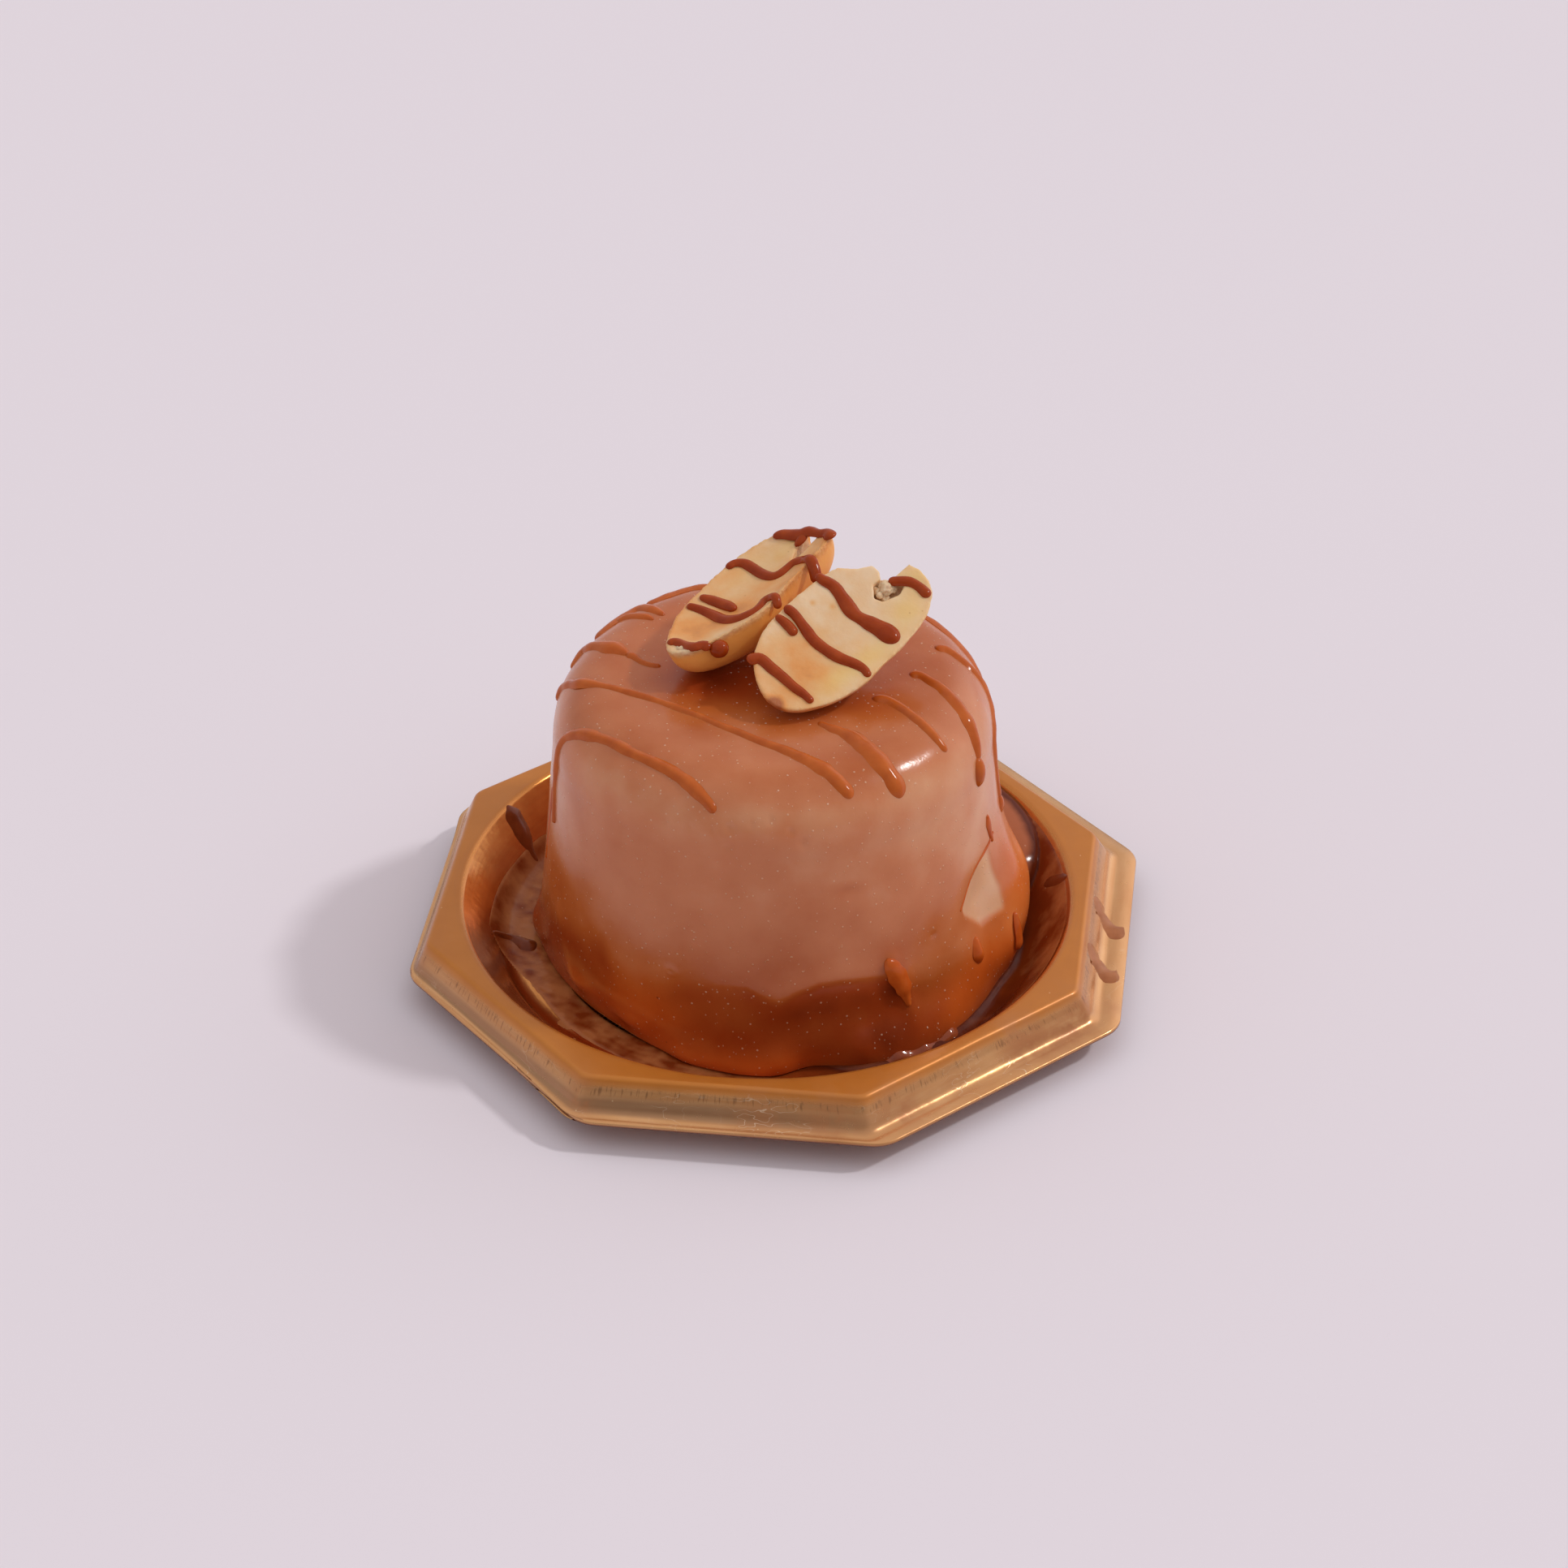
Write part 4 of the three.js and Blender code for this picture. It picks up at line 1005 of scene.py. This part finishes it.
dishDrips = {  # caramel on the dish, each with its width, height and places
    "wallDrip": {"wide": [1.0, 2.0, 2.3, 1.7, 0.8, 0.4], "high": 0.35, "path": [
        (-29.6, 11.0), (-29.2, 10.7), (-28.7, 10.4), (-28.2, 10.1), (-27.8, 9.8), (-27.0, 9.2),
        (-26.2, 8.6)]},
    "floorDrip": {"wide": [0.4, 0.8, 0.9, 1.1, 1.5, 2.0, 1.7], "high": 0.9, "path": [
        (-28.2, -5.6), (-27.6, -4.7), (-26.8, -4.2), (-25.9, -4.3), (-24.8, -5.0), (-24.0, -5.6)]},
    "rightDrip": {"wide": [0.5, 1.3, 1.6, 1.5, 0.8], "high": 0.3, "path": [
        (28.4, 5.8), (28.0, 6.0), (27.4, 6.5), (26.6, 7.2), (25.8, 7.6)]},
}
dishSmears = {
    "smearHigh": {"wide": [1.6, 2.4, 2.6, 2.4, 1.8], "high": 0.24, "path": [
        (31.3, 3.6), (31.8, 3.1), (32.4, 2.2), (33.2, 1.0), (34.3, -0.2)]},
    "smearMiddle": {"wide": [1.8, 2.4, 2.6, 2.3, 1.8], "high": 0.26, "path": [
        (31.2, -4.4), (31.8, -5.0), (32.5, -5.8), (33.3, -6.6), (34.4, -7.2)]},
}


def smoothPath(points, every=0.2):
    # a curve through the points, read at even steps
    curve = []
    ends = [points[0] * 2 - points[1]] + points + [points[-1] * 2 - points[-2]]
    for a, b, c, d in zip(ends, ends[1:], ends[2:], ends[3:]):
        steps = max(round((c - b).length / every), 1)
        for i in range(steps):
            curve.append(curveBetween(a, b, c, d, i / steps))
    return curve + [points[-1]]


def readPath(curve, lengths, share):
    at = share * lengths[-1]
    low, high = 0, len(lengths) - 1
    while high - low > 1:
        middle = (low + high) // 2
        if lengths[middle] <= at:
            low = middle
        else:
            high = middle
    part = (at - lengths[low]) / max(lengths[high] - lengths[low], 1e-9)
    before, after = curve[max(low - 2, 0)], curve[min(high + 2, len(curve) - 1)]
    return curve[low].lerp(curve[high], part), (after - before).normalized()


def readWidth(widths, share):
    if len(widths) == 1:
        return widths[0]
    at = share * (len(widths) - 1)
    low = min(int(at), len(widths) - 2)
    return mix(widths[low], widths[low + 1], smoothStep(0, 1, at - low))


def drawStrand(bm, points, outward, widths, high=1.0, melted=0.0, uneven=0.1):
    # a ball drawn out along a path, so that both ends are round; where it is
    # melted its feet flare into what it lies on
    curve = smoothPath(points)
    lengths = [0.0]
    for a, b in zip(curve, curve[1:]):
        lengths.append(lengths[-1] + (b - a).length)
    rings = max(round(lengths[-1] / drizzle["ringEvery"]), 14)
    made = bmesh.ops.create_uvsphere(bm, u_segments=drizzle["sides"], v_segments=rings, radius=1)
    for vert in made["verts"]:
        share = (1 - min(max(vert.co.z, -1), 1)) / 2
        width = drizzle["halfWidth"] * readWidth(widths, share)
        toEnd = min(share, 1 - share) * lengths[-1]
        fullness = sqrt(1 - max(1 - toEnd / width, 0) ** 2)
        middle, along = readPath(curve, lengths, share)
        out = outward(middle)
        side = along.cross(out).normalized()
        lift = side.cross(along)
        turn = atan2(vert.co.y, vert.co.x) if fullness > 0 else 0
        lumpy = fullness * (1 + uneven * noise.noise(middle * 0.8 + Vector((5, 3, 1))))
        sideways, upwards = cos(turn), sin(turn)
        height = drizzle["halfHeight"] * high * (0.5 + 0.5 * width / drizzle["halfWidth"])
        if upwards > 0:
            power = mix(0.5, 1.25, melted)
            upwards = height * max(1 - sideways * sideways, 0) ** power
        else:
            upwards *= drizzle["sunk"] if melted else height
        vert.co = middle + side * width * lumpy * sideways + lift * upwards * lumpy


def drawDrop(bm, place, radius, stretch):
    made = bmesh.ops.create_uvsphere(bm, u_segments=28, v_segments=18, radius=radius)
    for vert in made["verts"]:
        vert.co = Vector((vert.co.x, vert.co.y, vert.co.z * stretch)) + place


def caramelMaterial(name):
    deep, light, roughness, specular = caramels[name]
    material, tree, shader = newMaterial(name)
    setShader(
        shader, roughness=roughness, ior=1.45, subsurface=0.15, subsurfaceScale=0.0006,
        radius=(1.0, 0.4, 0.2), specular=specular,
    )
    place = millimetres(tree)
    tone = mixColor(tree, remap(tree, noiseNode(tree, place, 0.6, 3), 0.3, 0.7, 0, 1), deep, light)
    connect(tree, tone, shader, "Base Color")
    connect(tree, bumpNode(tree, noiseNode(tree, place, 2.2, 2), 0.03, 0.4), shader, "Normal")
    return material


def makeDrizzle():
    bm = bmesh.new()
    for strand in topStrands.values():
        points = [onMousse(point, -0.04) for point in strand["path"]]
        drawStrand(bm, points, outOfMousse, strand["wide"], 0.85, 1.0, 0.16)
        if "drop" in strand:
            radius, place, stretch = strand["drop"]
            drawDrop(bm, onMousse(place, -0.35), radius, stretch)
    makePiece("drizzleOnMousse", bm, caramelMaterial("drizzleMelted"), "mousse")
    for name, strands, look in (
        ("runsOnSide", sideRuns, "amberCaramel"), ("wetEdgeOnSide", wetEdge, "wetCaramel"),
    ):
        bm = bmesh.new()
        for strand in strands.values():
            points = [polar(turn, z) for turn, z in strand["path"]]
            drawStrand(bm, points, outOfMousse, strand["wide"], strand["high"], 0.7, 0.3)
        makePiece(name, bm, caramelMaterial(look), "mousse")


def onDish(x, y):
    return Vector((x, y, dishHeight(x, y)))


def makeDishDrips():
    for name, strands, look in (
        ("dripsOnDish", dishDrips, "darkCaramel"), ("smearsOnDish", dishSmears, "smearedCaramel"),
    ):
        bm = bmesh.new()
        for strand in strands.values():
            points = [onDish(*place) for place in strand["path"]]
            drawStrand(bm, points, outOfDish, strand["wide"], strand["high"], 0.8, 0.2)
        makePiece(name, bm, caramelMaterial(look), "mousse")


# the peanut halves, each in its own axes: along, across and out of its cut face

leftNut = {
    "node": "nut_left",
    "centre": (-4.14, 5.79, 37.8), "heading": 43.6, "pitch": 17, "roll": -7.75,
    "depth": 5.3, "belly": 2.9, "hollow": 1.1,
    "outline": [
        (10.3, -0.6), (9.2, 2.2), (6.8, 4.2), (3, 4.7), (-1, 4.1), (-5.2, 3.1), (-8.6, 1),
        (-10.3, -1.6), (-8.8, -3.6), (-5.2, -4.6), (-1.2, -5.1), (2.5, -4), (6.6, -2.8), (9.3, -1.9),
    ],
    "breaks": [(3.0, [(5.1, -0.5), (12, 0.1), (12, 2.6), (7.8, 1.3)])],
    # places on the face, as along, across, half length, half width and amount
    "toasted": [
        (-6.9, 1.0, 3.0, 2.2, 0.34), (-5.0, -1.6, 4.0, 2.0, 0.26), (-2, -2, 5, 2.2, 0.16),
        (8.0, -1.6, 3.0, 1.4, 0.30), (0.8, -0.4, 2.6, 1.4, 0.12), (-1, 3.4, 7, 0.9, 0.10),
        (-9.4, -2.4, 1.2, 1.8, -0.30), (0, 0, 10, 5, 0.20), (4.0, -3.0, 3.0, 1.2, 0.2),
    ],
    "yellow": [(7.2, 1.6, 2.2, 1.0, 0.5), (3.0, 2.6, 3.0, 1.6, 0.25)],
    "rough": 1.0, "goldenSkin": 1.0,
    "crumbs": [(-9.3, -2.0, -0.6, 0.6)],
    "strands": [
        {"wide": [0.9, 1.3, 1.6, 1.5, 1.1, 1.2, 1.4], "path": [
            (6.6, 3.9), (7.4, 3.4), (8, 2.4), (8.5, 1.6), (9.1, 1.3), (9.4, 0.5), (9.6, -0.2),
            (10, -1), (9.7, -2.2)]},
        {"wide": [1.0, 1.1, 0.8], "path": [(8.9, 1.4), (8.0, 1.1), (7.2, 0.9)]},
        {"wide": [0.9, 1.1, 1.1, 0.9, 1.1, 1.0], "path": [
            (0.9, 4.2), (1.9, 4.2), (2.6, 3.6), (2.8, 2.5), (2.9, 1), (3.2, -0.2), (3.8, -0.7),
            (4.9, -0.7), (5.7, -0.8), (6.3, -1.8), (6.4, -3.0), (6.0, -3.9, -0.6), (5.4, -4.7, -1.5)]},
        {"wide": [0.8, 1.1, 1.15, 1.0, 0.8], "path": [
            (-5, 2.9), (-4.6, 2.4), (-4.2, 1.4), (-3.9, 0), (-3.7, -1.6), (-3.2, -2.9),
            (-2.4, -3.7), (-1.5, -4.1), (-0.7, -3.9), (0.1, -3.5), (0.7, -3.9), (0.8, -4.7),
            (0.3, -5.5, -0.7)]},
        {"wide": [0.8, 1.2, 1.2, 0.8], "path": [
            (-3.3, 3.1), (-2.8, 2.3), (-2.4, 1.2), (-2.1, 0), (-2.1, -1.1)]},
        {"wide": [0.9, 1.0, 1.1, 1.3], "path": [
            (-9.7, -0.5), (-9, -0.7), (-8.7, -2), (-8.4, -3.4, -0.1), (-7.7, -3.6, -0.3),
            (-7.2, -4.4, -0.6)], "drop": (0.95, (-6.6, -4.6, -1.1))},
    ],
}
rightNut = {
    "node": "nut_right",
    "centre": (5.78, 0.52, 36.82), "heading": 47.3, "pitch": 16, "roll": 26,
    "depth": 3.9, "belly": 2.1, "hollow": 0.25,
    "outline": [
        (10.6, -0.6), (10, 1.4), (8, 3.6), (4.2, 5.2), (0, 5.3), (-4.8, 4.8), (-8.2, 3),
        (-10, 0), (-9.8, -2.6), (-7.4, -4.6), (-3.6, -5.7), (1, -5.5), (6.5, -4.7), (9.7, -3),
    ],
    "breaks": [
        (6.0, [
            (3.6, 6.5), (4.6, 5.2), (6.1, 3.8), (7.4, 3.1), (7.5, 2.2), (6.9, 1.3), (7.6, 0.8),
            (10.1, 0.9), (12, 1.2), (12, 6.5)]),
        (1.4, [
            (7.7, 1.4), (6.1, 1.5), (5.2, 0.4), (5.6, -0.4), (7.4, -0.9), (8.5, -0.4), (8.1, 1.4)]),
    ],
    "toasted": [
        (-4.1, 0.5, 2.6, 2.0, 0.16), (-5.4, -2.4, 3.0, 2.0, 0.20), (-10.0, -1.9, 0.9, 0.9, 0.95),
        (-8.6, 0.4, 1.6, 1.6, -0.12), (3.0, 3.4, 3.0, 1.6, -0.08), (0.2, 3.8, 0.3, 0.3, 0.4),
        (1.4, 2.3, 0.3, 0.3, 0.3), (-7.0, 2.6, 2.4, 0.8, 0.15), (-7.5, -0.6, 4.5, 4.0, 0.32),
        (-2.0, 0.0, 4.0, 4.0, 0.08),
    ],
    "yellow": [
        (6.6, -2.7, 2.0, 1.6, 0.8), (1.2, -4.1, 3.0, 1.2, 0.7), (-3.4, -3.8, 2.6, 1.2, 0.7),
        (9.6, -0.6, 1.6, 1.2, 0.8), (7.4, 0.9, 1.2, 0.8, 0.5),
    ],
    "rough": 0.5, "goldenSkin": 0.3,
    "crumbs": [
        (6.9, 0.5, -0.5, 0.7), (6.2, 0.9, -0.9, 0.5), (7.4, 0.2, -0.8, 0.45), (6.3, 0.0, -1.0, 0.45),
        (5.9, 0.4, -0.5, 0.35), (8.0, 0.9, -1.6, 0.5), (7.2, 1.3, -1.4, 0.6),
    ],
    "strands": [
        {"wide": [1.0], "path": [(7.4, 0.8), (8.2, 0.2), (9, -0.6), (9.3, -1.7), (9.3, -3)]},
        {"wide": [0.9, 1.1, 1.2, 1.4, 1.2, 1.5, 1.9, 1.7], "path": [
            (2.6, 5.8), (2.6, 5.1), (3, 3.8), (2.8, 2.3), (2.5, 0.5), (2.8, -0.8), (3.2, -2),
            (3.5, -3.2), (3.6, -4.6)]},
        {"wide": [0.9, 1.0, 1.1, 1.1, 1.0, 0.7], "path": [
            (-2.2, 5.2), (-2, 4), (-2.2, 2.3), (-2.4, 0.8), (-2.2, -0.7), (-1.8, -2.2),
            (-1.2, -3.5), (-0.9, -4.6), (-1.1, -5.6)]},
        {"wide": [0.7, 0.95, 1.0], "path": [(-3.5, 5.0), (-3.3, 3.9), (-3.3, 2.9), (-3.5, 2.3)]},
        {"wide": [1.2, 1.1, 1.0, 0.9, 0.7], "path": [
            (-8.9, 3.2), (-7.8, 2.6), (-7.6, 1.2), (-7.4, -0.3), (-7.3, -1.8), (-7.1, -3), (-7.1, -4.1)]},
    ],
}
nutDetail = {
    "around": 220, "rings": 110, "voxel": 0.13, "angles": 720, "edgeSteps": 24, "strand": 0.92,
}
nutTones = {
    "toast": [
        (0.0, (0.86, 0.60, 0.37)), (0.3, (0.82, 0.47, 0.21)), (0.6, (0.80, 0.33, 0.09)),
        (1.0, (0.42, 0.11, 0.03)),
    ],
    "yellow": (0.86, 0.55, 0.17), "skin": (0.95, 0.42, 0.085), "flecks": (0.55, 0.25, 0.08),
}


def nutAxes(nut):
    turn = (
        Matrix.Rotation(radians(nut["heading"]), 4, "Z")
        @ Matrix.Rotation(-radians(nut["pitch"]), 4, "Y")
        @ Matrix.Rotation(radians(nut["roll"]), 4, "X")
    )
    return Matrix.Translation(nut["centre"]) @ turn


def edgeOf(nut):
    places = [Vector((x, y, 0)) for x, y in nut["outline"]]
    count = len(places)
    curve = []
    for i in range(count):
        a, b, c, d = (places[(i + k) % count] for k in (-1, 0, 1, 2))
        for step in range(nutDetail["edgeSteps"]):
            curve.append(curveBetween(a, b, c, d, step / nutDetail["edgeSteps"]))
    return curve


def reachOf(edge):
    # how far the edge is from the middle, for each direction
    angles = nutDetail["angles"]
    reach = []
    for i in range(angles):
        x, y = cos(2 * pi * i / angles), sin(2 * pi * i / angles)
        nearest = max(edge, key=lambda place: (place.x * x + place.y * y) / place.length)
        reach.append(nearest.length)
    return reach


def faceHeight(nut, share):
    return -nut["hollow"] * (1 - share ** 2)


def shareOut(reach, x, y):
    at = round(atan2(y, x) / (2 * pi) * nutDetail["angles"]) % nutDetail["angles"]
    return min(hypot(x, y) / reach[at], 1)


def spots(forms, x, y):
    total = 0
    for along, across, length, width, amount in forms:
        total += amount * bump(hypot((x - along) / length, (y - across) / width))
    return total


def nutMaterial():
    material, tree, shader = newMaterial("peanut")
    setShader(
        shader, roughness=0.40, ior=1.45, subsurface=0.2, subsurfaceScale=0.0008,
        radius=(1.0, 0.6, 0.35),
    )
    place = millimetres(tree)
    cloud = remap(tree, noiseNode(tree, place, 0.45, 5), 0.3, 0.7, -0.14, 0.14)
    tone = ramp(tree, calculate(tree, "ADD", attribute(tree, "toast"), cloud), nutTones["toast"])
    for where, amount, name in (
        (attribute(tree, "yellow"), 0.8, "yellow"), (attribute(tree, "skin"), 0.85, "skin"),
        (dots(tree, place, 0.5, 0.06), 0.5, "flecks"),
    ):
        tone = mixColor(tree, calculate(tree, "MULTIPLY", where, amount), tone, nutTones[name])
    connect(tree, tone, shader, "Base Color")
    grain = bumpNode(tree, noiseNode(tree, place, 2.4, 5), 0.05, 0.5)
    rough = attribute(tree, "roughEdge")
    crumbs = calculate(tree, "MULTIPLY", noiseNode(tree, place, 3.5, 4, 0.7), rough)
    connect(tree, bumpNode(tree, crumbs, 0.16, 0.9, grain), shader, "Normal")
    return material


def shapeNut(nut, edge):
    # the half kernel with its breaks cut out, softened into an even mesh
    bm = bmesh.new()
    bmesh.ops.create_uvsphere(
        bm, u_segments=nutDetail["around"], v_segments=nutDetail["rings"], radius=1,
    )
    for vert in bm.verts:
        share = min(hypot(vert.co.x, vert.co.y), 1)
        turn = (atan2(vert.co.y, vert.co.x) / (2 * pi)) % 1
        at = turn * len(edge)
        outer = edge[int(at) % len(edge)].lerp(edge[(int(at) + 1) % len(edge)], at % 1)
        full = (1 - share ** nut["belly"]) ** (1 / nut["belly"])
        height = faceHeight(nut, share) if vert.co.z > 0 else -nut["depth"] * full
        vert.co = Vector((outer.x * share, outer.y * share, height))
    mesh = bpy.data.meshes.new("kernel")
    bmesh.ops.recalc_face_normals(bm, faces=bm.faces)
    bm.to_mesh(mesh)
    bm.free()
    kernel = bpy.data.objects.new("kernel", mesh)
    bpy.context.scene.collection.objects.link(kernel)
    cutters = []
    for depth, outline in nut["breaks"]:
        cut = bmesh.new()
        face = cut.faces.new([cut.verts.new((x, y, -depth)) for x, y in outline])
        grown = bmesh.ops.extrude_face_region(cut, geom=[face])
        top = [item for item in grown["geom"] if isinstance(item, bmesh.types.BMVert)]
        bmesh.ops.translate(cut, vec=(0, 0, depth + 2), verts=top)
        bmesh.ops.recalc_face_normals(cut, faces=cut.faces)
        cutMesh = bpy.data.meshes.new("missing")
        cut.to_mesh(cutMesh)
        cut.free()
        cutter = bpy.data.objects.new("missing", cutMesh)
        bpy.context.scene.collection.objects.link(cutter)
        missing = kernel.modifiers.new("missing", "BOOLEAN")
        missing.object = cutter
        missing.operation = "DIFFERENCE"
        missing.solver = "EXACT"
        cutters.append(cutter)
    remesh = kernel.modifiers.new("even", "REMESH")
    remesh.mode = "VOXEL"
    remesh.voxel_size = nutDetail["voxel"]
    soften = kernel.modifiers.new("soften", "SMOOTH")
    soften.factor = 0.5
    soften.iterations = 3
    ready = kernel.evaluated_get(bpy.context.evaluated_depsgraph_get())
    bm = bmesh.new()
    bm.from_mesh(ready.to_mesh())
    for spare in [kernel] + cutters:
        bpy.data.objects.remove(spare)
    return bm


def makeNut(nut, material, drizzleLook):
    edge = edgeOf(nut)
    reach = reachOf(edge)
    bm = shapeNut(nut, edge)
    names = ("toast", "yellow", "roughEdge", "skin")
    toast, yellow, roughEdge, skinLook = (bm.verts.layers.float.new(name) for name in names)
    for vert in bm.verts:
        x, y, z = vert.co
        share = shareOut(reach, x, y)
        below = faceHeight(nut, share) - z
        skin = smoothStep(0.2, 1.0, below)
        rim = smoothStep(0.9, 1.0, share) * (1 - smoothStep(0.2, 1.2, below))
        belly = -nut["depth"] * (1 - share ** nut["belly"]) ** (1 / nut["belly"])
        broken = smoothStep(0.2, 0.5, below) * smoothStep(0.3, 0.8, z - belly)
        broken *= 1 - smoothStep(0.93, 0.97, share)
        patches = spots(nut["toasted"], x, y) * (1 - 0.6 * skin)
        vert[toast] = min(max(0.10 + 0.2 * rim * nut["rough"] + 0.36 * skin * (1 - broken) + patches, 0), 1)
        vert[yellow] = min(spots(nut["yellow"], x, y), 1) * (1 - skin)
        vert[skinLook] = nut["goldenSkin"] * skin * (1 - broken)
        vert[roughEdge] = min(rim * nut["rough"] + broken, 1)
        crumbly = noise.noise(Vector((x, y, z)) * 1.5) + 0.5 * noise.noise(Vector((x, y, z)) * 3.4)
        gentle = noise.noise(Vector((x, y, z)) * 0.35)
        push = 0.10 * crumbly * max(rim * nut["rough"], 0.8 * broken) + 0.10 * gentle
        vert.co += vert.normal * push
    for x, y, z, radius in nut["crumbs"]:
        place = Vector((x, y, z))
        crumb = bmesh.ops.create_icosphere(bm, subdivisions=4, radius=radius)
        for vert in crumb["verts"]:
            vert.co *= 1 + 0.35 * noise.noise(vert.co * 2.6 + place)
            vert.co += place
            vert[roughEdge] = 1.0
    bmesh.ops.transform(bm, matrix=nutAxes(nut), verts=bm.verts)
    makePiece(nut["node"].replace("nut_", "kernel"), bm, material, nut["node"])

    bm = bmesh.new()
    for strand in nut["strands"]:
        points = []
        for point in strand["path"]:
            x, y = point[:2]
            z = point[2] if len(point) > 2 else faceHeight(nut, shareOut(reach, x, y)) + 0.05
            points.append(Vector((x, y, z)))
        widths = [nutDetail["strand"] * width for width in strand["wide"]]
        drawStrand(bm, points, lambda place: Vector((0, 0, 1)), widths, 0.95, 0.4)
        if "drop" in strand:
            radius, place = strand["drop"]
            drawDrop(bm, Vector(place), radius, 0.9)
    bmesh.ops.transform(bm, matrix=nutAxes(nut), verts=bm.verts)
    makePiece(nut["node"].replace("nut_", "drizzle"), bm, drizzleLook, nut["node"])


makeCamera()
makeStudio()
makeDish(goldMaterial())
makeMousse(glazeMaterial())
makeWellGlaze(wellGlazeMaterial())
makeDrizzle()
makeDishDrips()
nutLook, nutDrizzle = nutMaterial(), caramelMaterial("drizzleOnNuts")
for nut in (leftNut, rightNut):
    makeNut(nut, nutLook, nutDrizzle)
